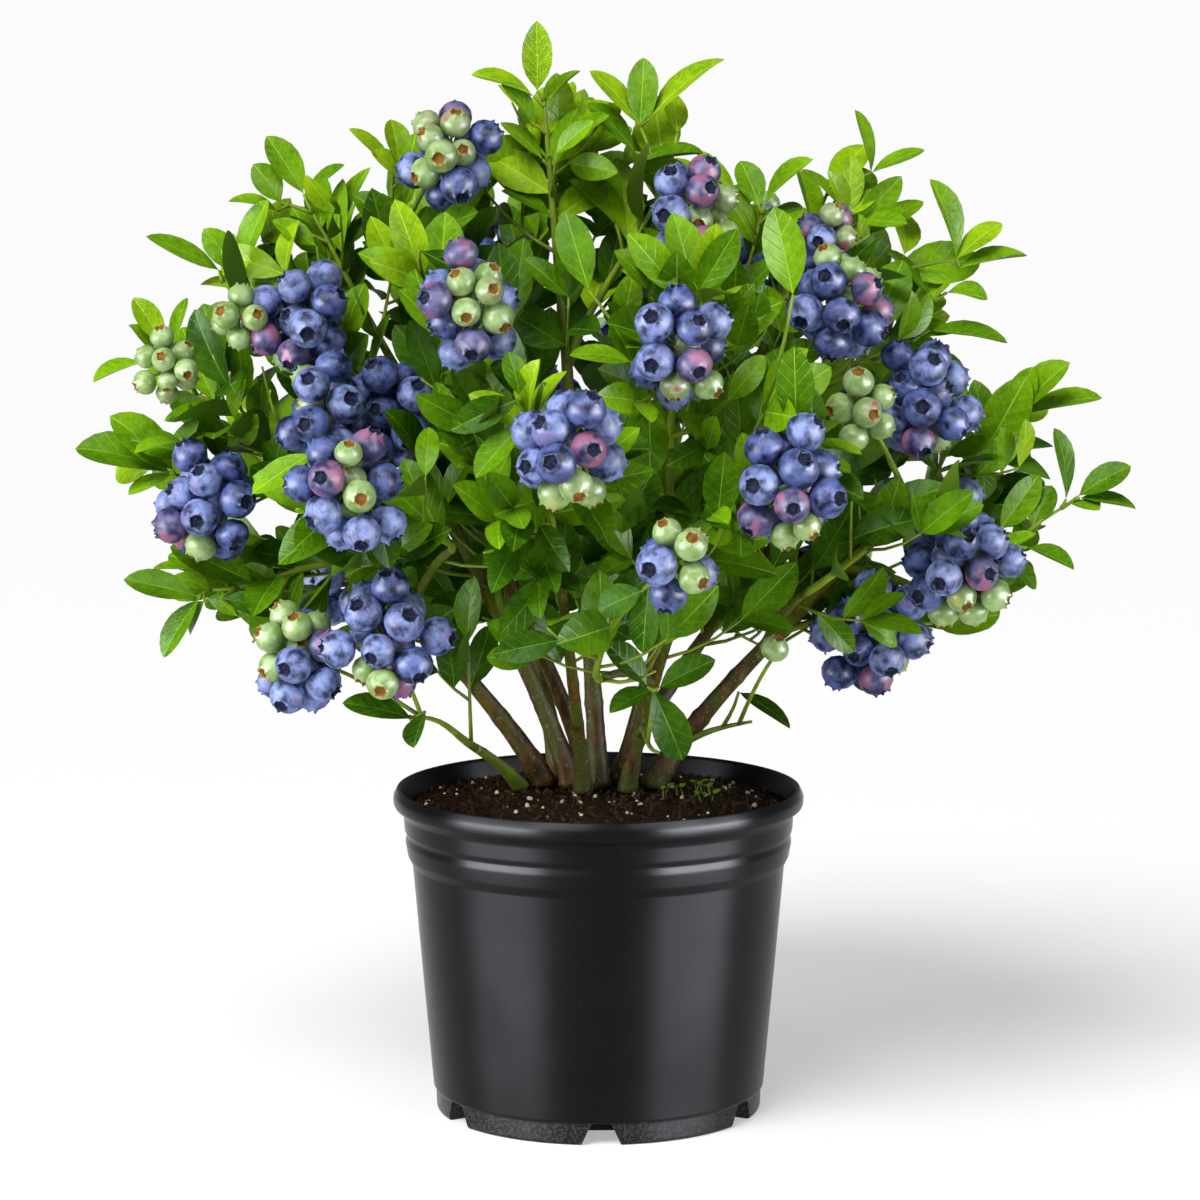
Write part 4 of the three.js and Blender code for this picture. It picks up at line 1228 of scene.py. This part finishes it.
def grow_bunch(stem, fruit, seed):
    """Berries on stalks from one middle. Green ones lie to one side, then pink, then ripe ones."""
    rng = random.Random(seed)
    middle = fruit.middle
    root = stem.at(min(range(20, 90, 5), key=lambda s: np.linalg.norm(
        stem.at(s / 100) - middle)) / 100)
    add_tube(stalk_heap, arc_course(root, (root + middle) / 2 + UP * 6, middle), 1.5, 1.1, 6, 6)
    spin = Euler([rng.uniform(0, 6) for _ in range(3)]).to_matrix()
    directions = ball_directions(fruit.berries) @ np.array(spin)
    outward = unit(middle * LEVEL)
    green_side = (around(np.cross(UP, outward), UP, math.radians(fruit.green_side))
                  + outward * 0.5)
    greens = round(fruit.green * len(directions))
    pinks = round(fruit.pink * len(directions))
    finishes, radii = [RIPE] * len(directions), np.zeros(len(directions))
    for rank, i in enumerate(np.argsort(-(directions @ green_side))):
        draw = rng.random()
        if rank < greens:
            finishes[i] = UNRIPE if draw < UNRIPE_SHARE else BLUSH
            radii[i] = UNRIPE_RADIUS * rng.uniform(*UNRIPE_SIZES)
        elif rank < greens + pinks:
            finishes[i] = PURPLE
            radii[i] = BERRY_RADIUS * rng.uniform(*PURPLE_SIZES)
        else:
            finishes[i] = BLOOMY if draw < BLOOMY_SHARE else RIPE
            radii[i] = BERRY_RADIUS * rng.uniform(*RIPE_SIZES)
    radii *= fruit.size
    for i, centre in enumerate(settle(middle, radii, directions)):
        add_tube(stalk_heap, line_course(middle, centre), 0.8, 0.7, 4, 2)
        facing = unit(centre - middle)
        facing = facing + vector(*(rng.uniform(-0.35, 0.35) for _ in range(3)))
        add_berry(centre, facing + outward * 0.35, radii[i], finishes[i], rng)


def grow_seedlings(seed):
    """Small green shoots on the soil between the canes."""
    rng = random.Random(seed)
    for _ in range(SEEDLINGS):
        x, y = (middle + rng.uniform(-1, 1) * spread
                for middle, spread in zip(SEEDLING_PATCH, SEEDLING_SPREAD))
        foot = vector(x, y, soil_height(math.hypot(x, y), x, y) - 1)
        head = foot + vector(rng.uniform(-3, 3), rng.uniform(-3, 3),
                             rng.uniform(*SEEDLING_HEIGHTS))
        add_tube(twig_heap, line_course(foot, head), 0.5, 0.4, 4, 2)
        turn = rng.uniform(0, FULL_TURN)
        for side in (0, math.pi):
            along = unit(vector(math.cos(turn + side), math.sin(turn + side), 0.45))
            face = unit(UP - along * along[2])
            length = rng.uniform(*SEEDLING_LEAVES)
            add_leaf(head, along, face, length, 0.55 * length, 0.3, 0, rng)


# ---- Pot ----

def rounded(profile):
    """(radius, height) pairs with round corners, from rows that end in a corner's radius."""
    result = []
    for i, (*corner, size) in enumerate(profile):
        here = vector(*corner)
        if not size:
            result.append(here)
            continue
        back, on = (vector(*profile[k][:2]) - here for k in (i - 1, i + 1))
        size = min(size, 0.45 * np.linalg.norm(back), 0.45 * np.linalg.norm(on))
        ends = here + unit(back) * size, here + unit(on) * size
        result += [arc(ends[0], here, ends[1], t) for t in (0, 0.25, 0.5, 0.75, 1)]
    return result


def pot_body():
    """The pot turned round the Z axis."""
    wall_lean = (WALL_TOP_RADIUS - WALL_FOOT_RADIUS) / (BAND_FOOT - FOOT_HEIGHT)
    profile = rounded([
        (0, 0, 0), (FOOT_RADIUS - 6, 0, 0), (FOOT_RADIUS - 0.4, 0, 3),
        (FOOT_RADIUS, FOOT_HEIGHT - 0.6, 0.8), (WALL_FOOT_RADIUS, FOOT_HEIGHT + 0.8, 1),
        (WALL_TOP_RADIUS - wall_lean * 60, BAND_FOOT - 60, 0), (WALL_TOP_RADIUS, BAND_FOOT, 0.7),
        (WALL_TOP_RADIUS + 2.6, BAND_FOOT + 5, 0.8), (WALL_TOP_RADIUS + 4.1, BAND_GROOVE - 4, 1.2),
        (WALL_TOP_RADIUS + 3.2, BAND_GROOVE, 0.8), (WALL_TOP_RADIUS + 4.6, BAND_GROOVE + 3, 0.9),
        (WALL_TOP_RADIUS + 5.2, LIP_FOOT - 2, 1), (LIP_INNER_RADIUS, LIP_FOOT, 0.8),
        (RIM_RADIUS - 0.6, LIP_FOOT + 3.2, 1), (RIM_RADIUS, LIP_FOOT + 5.5, 1.2),
        (RIM_RADIUS, LIP_FOOT + 9, 2.4), (RIM_RADIUS - 2.5, POT_HEIGHT, 1.6),
        (LIP_INNER_RADIUS, POT_HEIGHT - 1.5, 1.2), (WALL_TOP_RADIUS + 1.4, POT_HEIGHT - 12, 2),
        (WALL_TOP_RADIUS - WALL, BAND_FOOT - 2.5, 0), (WALL_FOOT_RADIUS - WALL, FLOOR, 0),
        (0, FLOOR, 0),
    ])
    body = bmesh.new()
    rings = [[body.verts.new(point)
              for point in circle(radius * MM, height * MM, POT_FACETS if radius else 1)]
             for radius, height in profile]
    join_rings(body, rings)
    return body


def notch_cutters():
    half, top_half = NOTCH_WIDTH / 2, NOTCH_TOP_WIDTH / 2
    corner_height = FOOT_HEIGHT - 0.8
    outline = [(-half - 1, -1), (half + 1, -1), (top_half, FOOT_HEIGHT - 2.6),
               (top_half - 0.9, corner_height), (top_half - 3, FOOT_HEIGHT),
               (3 - top_half, FOOT_HEIGHT), (0.9 - top_half, corner_height),
               (-top_half, FOOT_HEIGHT - 2.6)]
    cutters = bmesh.new()
    for i in range(NOTCHES):
        turn = NOTCH_TURN + 360 * i / NOTCHES
        away = polar(turn, 1, 0)
        beside = vector(-away[1], away[0], 0)
        ends = [[cutters.verts.new(tuple((away * reach + beside * x + UP * z) * MM))
                 for x, z in outline] for reach in (FOOT_RADIUS - 35, FOOT_RADIUS + 3)]
        join_rings(cutters, ends)
        cutters.faces.new(ends[0][::-1])
        cutters.faces.new(ends[1])
    return cutters


def make_pot(finish):
    solids = []
    for name, body in (("nursery_pot", pot_body()), ("notches", notch_cutters())):
        bmesh.ops.recalc_face_normals(body, faces=body.faces)
        solids.append(new_object(name, mesh_from(body, name)))
    pot, notches = solids
    cut = pot.modifiers.new("drainage", "BOOLEAN")
    cut.operation = "DIFFERENCE"
    cut.solver = "EXACT"
    cut.object = notches
    finished = baked(pot, "nursery_pot")
    bpy.data.objects.remove(notches)
    finished.materials.clear()
    smooth(finished, [finish], sharp=32)
    place("nursery_pot", finished, ("pot",))


# ---- Soil ----

def soil_height(radius, x, y):
    share = (radius - SOIL_CREST_RADIUS) / (WALL_TOP_RADIUS - SOIL_CREST_RADIUS)
    height = lerp(SOIL_CREST, SOIL_EDGE, min(max(share, 0), 1))
    rough = noise.fractal(Vector((x / 16, y / 16, 3.7)), 0.6, 2.2, 4)
    clods = noise.noise(Vector((x / 4.5, y / 4.5, 9.1)))
    return height - 1.6 + SOIL_ROUGHNESS * rough + SOIL_CLODS * clods


def soil_ring(mesh, radius, sides, lift=0.0):
    return [mesh.verts.new((x * MM, y * MM, (soil_height(radius, x, y) + lift) * MM))
            for x, y, _ in circle(radius, 0, sides)]


def make_soil(finish):
    mesh = bmesh.new()
    span = WALL_TOP_RADIUS + 0.2 - SOIL_MIDDLE
    rings = [soil_ring(mesh, 0, 1)]
    rings += [soil_ring(mesh, SOIL_MIDDLE + i * span / SOIL_RINGS, SOIL_SIDES)
              for i in range(SOIL_RINGS + 1)]
    for radius, height, sides in (
            (WALL_TOP_RADIUS + 0.2, POT_HEIGHT - 13, SOIL_SIDES),
            (WALL_TOP_RADIUS - WALL - 0.6, BAND_FOOT - 4, SOIL_SIDES),
            (WALL_FOOT_RADIUS - WALL - 0.6, FLOOR + 0.6, SOIL_SIDES), (0, FLOOR + 0.6, 1)):
        rings.append([mesh.verts.new(point) for point in circle(radius * MM, height * MM, sides)])
    join_rings(mesh, rings, downward=True)
    data = mesh_from(mesh, "potting_mix")
    smooth(data, [finish])
    place("potting_mix", data, ("soil",))


def grain_tree(name):
    """Small stones scattered over a surface, driven by its named inputs."""
    tree = bpy.data.node_groups.new(name, "GeometryNodeTree")
    sockets = {}
    for label, kind in (("Geometry", "Geometry"), ("Density", "Float"), ("Smallest", "Float"),
                        ("Largest", "Float"), ("Flatness", "Float"), ("Seed", "Int"),
                        ("Finish", "Material")):
        sockets[label] = tree.interface.new_socket(
            label, in_out="INPUT", socket_type="NodeSocket" + kind).identifier
    tree.interface.new_socket("Geometry", in_out="OUTPUT", socket_type="NodeSocketGeometry")
    given = add_node(tree, "NodeGroupInput").outputs
    scatter = add_node(tree, "GeometryNodeDistributePointsOnFaces", {
        "Mesh": given["Geometry"], "Density": given["Density"], "Seed": given["Seed"]})
    stone = add_node(tree, "GeometryNodeMeshIcoSphere", {"Radius": 1, "Subdivisions": 2})
    turn = add_node(tree, "FunctionNodeRandomValue", {
        "Max": (6.28, 6.28, 6.28), "Seed": given["Seed"]}, data_type="FLOAT_VECTOR")
    size = add_node(tree, "FunctionNodeRandomValue", {
        2: given["Smallest"], 3: given["Largest"], "Seed": given["Seed"]}, data_type="FLOAT")
    flat = step(tree, "MULTIPLY", size.outputs[1], given["Flatness"])
    shape = add_node(tree, "ShaderNodeCombineXYZ", {0: size.outputs[1], 1: flat, 2: flat})
    copy = add_node(tree, "GeometryNodeInstanceOnPoints", {
        "Points": scatter.outputs["Points"], "Instance": stone.outputs["Mesh"],
        "Rotation": turn.outputs[0], "Scale": shape.outputs[0]})
    real = add_node(tree, "GeometryNodeRealizeInstances", {"Geometry": copy.outputs["Instances"]})
    paint = add_node(tree, "GeometryNodeSetMaterial", {
        "Geometry": real.outputs["Geometry"], "Material": given["Finish"]})
    add_node(tree, "NodeGroupOutput", {"Geometry": paint.outputs["Geometry"]})
    return tree, sockets


GROUND_SIDES = 72
GROUND_RINGS = 18


def scatter_grains(name, finish, **inputs):
    """Grains over the soil, by the inputs of the grain tree. Sizes are in millimetres."""
    mesh = bmesh.new()
    rings = [soil_ring(mesh, 2 + i * (WALL_TOP_RADIUS - 4) / GROUND_RINGS, GROUND_SIDES, 0.3)
             for i in range(GROUND_RINGS + 1)]
    join_rings(mesh, rings, downward=True)
    ground = new_object(name + "_ground", mesh_from(mesh, name))
    tree, sockets = grain_tree(name + "_scatter")
    scatter = ground.modifiers.new("scatter", "NODES")
    scatter.node_group = tree
    for label, value in inputs.items():
        scatter[sockets[label]] = value * MM if label in ("Smallest", "Largest") else value
    scatter[sockets["Finish"]] = finish
    place(name, baked(ground, name), ())


# ---- Bark ----

def bark_relief(point, turn, age):
    """Shallow furrows along the cane with small raised flecks, in millimetres."""
    along = Vector((math.cos(turn) * 1.6, math.sin(turn) * 1.6, point[2] / 38))
    furrows = noise.fractal(along * 2.1, 0.7, 2.1, 4)
    flecks = max(0.0, noise.noise(Vector(tuple(point / 3.2))) - 0.35)
    return age * (FURROW_DEPTH * furrows + BARK_FLECK_HEIGHT * flecks)


def make_limb(heap, limb, sides, number, slot):
    """A limb with bark and knots. A cane has its number, which turns its lobes, and a bough 0."""
    course, radius = limb.course, limb.radius
    count = max(8, int(course.length / RING_STEP))
    phase = number * 2.4

    def relief_radius(share, turn):
        base = radius(share)
        flare = math.exp(-share * course.length / 14) if number else 0
        lobes = 1 + FOOT_LOBES * flare * math.sin(3 * turn + phase)
        knot = math.exp(-((share * course.length / KNOT_SPACING) % 1 - 0.5) ** 2 / KNOT_WIDTH)
        relief = bark_relief(course.at(share), turn + phase, 0.6 + base / 9)
        return base * lobes + (relief + KNOT_SIZE * knot) * base / 6

    shares = np.linspace(0, 1, count)
    heap.add(tube_points(course, relief_radius, sides, shares), pod_faces(sides, count), slot)


# ---- Making everything ----

make_pot(pot_finish())
make_soil(mixed_finish("bark_and_peat_mix", (0.004, 0.002, 0.001), (0.044, 0.021, 0.008),
                       0.95, 0.02, 260, 0.8, 0.002))
perlite = mixed_finish("perlite", (0.74, 0.64, 0.44), (0.94, 0.90, 0.78), 0.8, 0.05, 900, 0.4,
                       0.0004)
bark_chip = mixed_finish("bark_chips", (0.007, 0.003, 0.001), (0.100, 0.042, 0.011), 0.8, 0.03,
                         300, 0.5, 0.0006)
scatter_grains("perlite_grains", perlite, Density=2600, Smallest=0.5, Largest=2.2, Flatness=0.7,
               Seed=4)
scatter_grains("bark_chips", bark_chip, Density=20000, Smallest=1.0, Largest=3.6,
               Flatness=0.35, Seed=9)

for one in MASSES:
    grow_stem(one)
for number, (name, depth, blades) in enumerate(SPRAYS):
    grow_spray(masses[name], depth, blades, 201 + number)
for number, one in enumerate(MASSES):
    grow_mass(one, 301 + number)
for number, limb in enumerate(limbs.values()):
    grow_limb_shoots(limb, 501 + number)
grow_seedlings(41)
for number, one in enumerate(MASSES):
    for k, fruit in enumerate(one.fruit):
        grow_bunch(one.stem, fruit, 700 + 10 * number + k)
for number, (name, fruit) in enumerate(SIDE_BUNCHES):
    grow_bunch(masses[name].stem, fruit, 1100 + number)

cane_bark = bark_finish("cane_bark", (0.150, 0.060, 0.010), (0.088, 0.098, 0.006),
                        (0.270, 0.195, 0.070), (0.100, 0.140, 0.006), 0.28, 0.48)
bough_bark = bark_finish("bough_bark", (0.115, 0.062, 0.010), (0.105, 0.125, 0.008),
                         (0.240, 0.210, 0.080), (0.120, 0.175, 0.008), 0.26, 0.42)
young_bark = mixed_finish("young_twig", (0.110, 0.180, 0.008), (0.250, 0.360, 0.020), 0.55, 0.06,
                          60, 0.3)
cane_heap, bough_heap = Heap(), Heap()
for number, (name, _, base, _) in enumerate(CANES):
    make_limb(cane_heap, limbs[name], CANE_SIDES, number + 1, int(base < GREEN_CANE_RADIUS))
for name, *_ in BOUGHS:
    make_limb(bough_heap, limbs[name], BOUGH_SIDES, 0, 0)
cane_heap.piece("canes_with_bark", [cane_bark, young_bark], [row[0] for row in CANES], "bark")
bough_heap.piece("boughs_with_bark", [bough_bark], [row[0] for row in BOUGHS], "young_bark")
twig_heap.piece("twigs", [young_bark], (), "young_bark")

leaf_looks = leaf_finishes()
shares = crown_share(np.array(leaves["root"]))
outer = shares >= float(np.median(shares))
make_leaves("outer_leaves", np.nonzero(outer)[0], leaf_looks, list(masses))
make_leaves("inner_leaves", np.nonzero(~outer)[0], leaf_looks, ())

berry_looks = [
    berry_finish("berry_ripe", (0.004, 0.007, 0.028), (0.105, 0.150, 0.400),
                 (0.060, 0.062, 0.190), 0.42),
    berry_finish("berry_bloomy", (0.012, 0.020, 0.075), (0.230, 0.300, 0.620),
                 (0.160, 0.120, 0.330), 0.5),
    berry_finish("berry_purple", (0.030, 0.024, 0.080), (0.130, 0.130, 0.290),
                 (0.300, 0.110, 0.210), 0.46, 0.5),
    berry_finish("berry_blush", (0.200, 0.290, 0.090), (0.360, 0.440, 0.220),
                 (0.330, 0.120, 0.110), 0.38),
    berry_finish("berry_unripe", (0.180, 0.300, 0.070), (0.350, 0.490, 0.210),
                 (0.450, 0.480, 0.130), 0.38),
    # Each calyx has a rim finish and a darker hollow finish. The hollow's darkness is partly its
    # own colour and partly painted shade in the crater.
    mixed_finish("calyx_rim_ripe", (0.010, 0.013, 0.035), (0.110, 0.135, 0.270), 0.7, 0.1, 500),
    mixed_finish("calyx_hollow_ripe_painted_shade", (0.003, 0.004, 0.010), (0.034, 0.040, 0.085), 0.9, 0.02,
                 600),
    mixed_finish("calyx_rim_green", (0.240, 0.130, 0.020), (0.420, 0.340, 0.080), 0.6, 0.1, 300),
    mixed_finish("calyx_hollow_green_painted_shade", (0.120, 0.045, 0.006), (0.300, 0.150, 0.020), 0.9, 0.05,
                 300),
]
berry_heap.piece("berries", berry_looks, (), "foliage", sharp=50)
stalk_heap.piece("berry_stalks", [young_bark], (), "young_bark")

# ---- Floor, light and camera, in metres ----

FLOOR_HALF = 60.0
FLOOR_GREY = 0.6
FLOOR_GLOW = 0.41
SHEEN_TINT = (0.90, 0.92, 1.0)
KEY_DIRECTION = (0.4, 0.75, -1.0)
KEY_STRENGTH = 3.0
KEY_SOFTNESS = 32
WORLD_LIGHT = 0.2
BACKDROP = 0.97
CAMERA_ACROSS = 0.0009
CAMERA_DISTANCE = 2.400
CAMERA_HEIGHT = 0.6254
CAMERA_PITCH = 7.68
CAMERA_LENS = 124.35
SENSOR_WIDTH = 36


def make_floor():
    mesh = bpy.data.meshes.new("pale_floor")
    corners = ((-1, -1), (1, -1), (1, 1), (-1, 1))
    mesh.from_pydata([(x * FLOOR_HALF, y * FLOOR_HALF, 0) for x, y in corners], [],
                     [(0, 1, 2, 3)])
    finish, _, _ = new_finish("pale_floor", (FLOOR_GREY,) * 3, 1.0, 0.0,
                              Emission_Color=(1, 1, 1, 1), Emission_Strength=FLOOR_GLOW)
    mesh.materials.append(finish)
    floor = new_object("pale_floor", mesh)


def area_light(name, position, aim, width, height, watts, only_shine=False):
    data = bpy.data.lights.new(name, "AREA")
    data.shape = "RECTANGLE"
    data.size, data.size_y = width, height
    data.energy = watts
    lamp = new_object(name, data)
    lamp.location = position
    lamp.rotation_euler = (Vector(aim) - Vector(position)).to_track_quat("-Z", "Y").to_euler()
    lamp.visible_camera = False
    if only_shine:
        data.color = SHEEN_TINT
        lamp.visible_diffuse = False


def sun_light(name, direction, strength, softness):
    data = bpy.data.lights.new(name, "SUN")
    data.energy = strength
    data.angle = math.radians(softness)
    new_object(name, data).rotation_euler = Vector(direction).to_track_quat("-Z", "Y").to_euler()


def plain_world(light, backdrop):
    """Even light all round, and a white backdrop where the camera looks past the floor."""
    world = bpy.data.worlds.new("studio")
    world.use_nodes = True
    tree = world.node_tree
    shader = tree.nodes["Background"]
    shader.inputs["Color"].default_value = (1, 1, 1, 1)
    path = add_node(tree, "ShaderNodeLightPath")
    strength = add_node(tree, "ShaderNodeMapRange", {
        "Value": path.outputs["Is Camera Ray"], "To Min": light, "To Max": backdrop})
    tree.links.new(strength.outputs["Result"], shader.inputs["Strength"])
    bpy.context.scene.world = world


make_floor()
sun_light("key", KEY_DIRECTION, KEY_STRENGTH, KEY_SOFTNESS)
area_light("left_softbox", (-1.5, -1.1, 0.55), (0, 0, 0.15), 0.7, 1.1, 14)
area_light("right_softbox", (1.4, -1.2, 0.55), (0, 0, 0.15), 0.5, 1.1, 6)
area_light("left_sheen", (-1.6, -1.0, 0.38), (0, 0, 0.1), 1.7, 0.9, 300, True)
area_light("right_sheen", (1.65, -0.95, 0.38), (0, 0, 0.1), 1.7, 0.9, 385, True)
area_light("high_sheen", (0.1, -1.1, 1.5), (0, 0, 0.15), 3.4, 0.3, 110, True)
plain_world(WORLD_LIGHT, BACKDROP)

camera_data = bpy.data.cameras.new("camera")
camera_data.sensor_width = SENSOR_WIDTH
camera_data.sensor_fit = "AUTO"
camera_data.lens = CAMERA_LENS
camera_data.clip_end = 50
camera = new_object("camera", camera_data)
camera.location = (CAMERA_ACROSS, -CAMERA_DISTANCE, CAMERA_HEIGHT)
camera.rotation_euler = (math.radians(90 - CAMERA_PITCH), 0, 0)
bpy.context.scene.camera = camera
bpy.context.scene.view_settings.view_transform = "Standard"
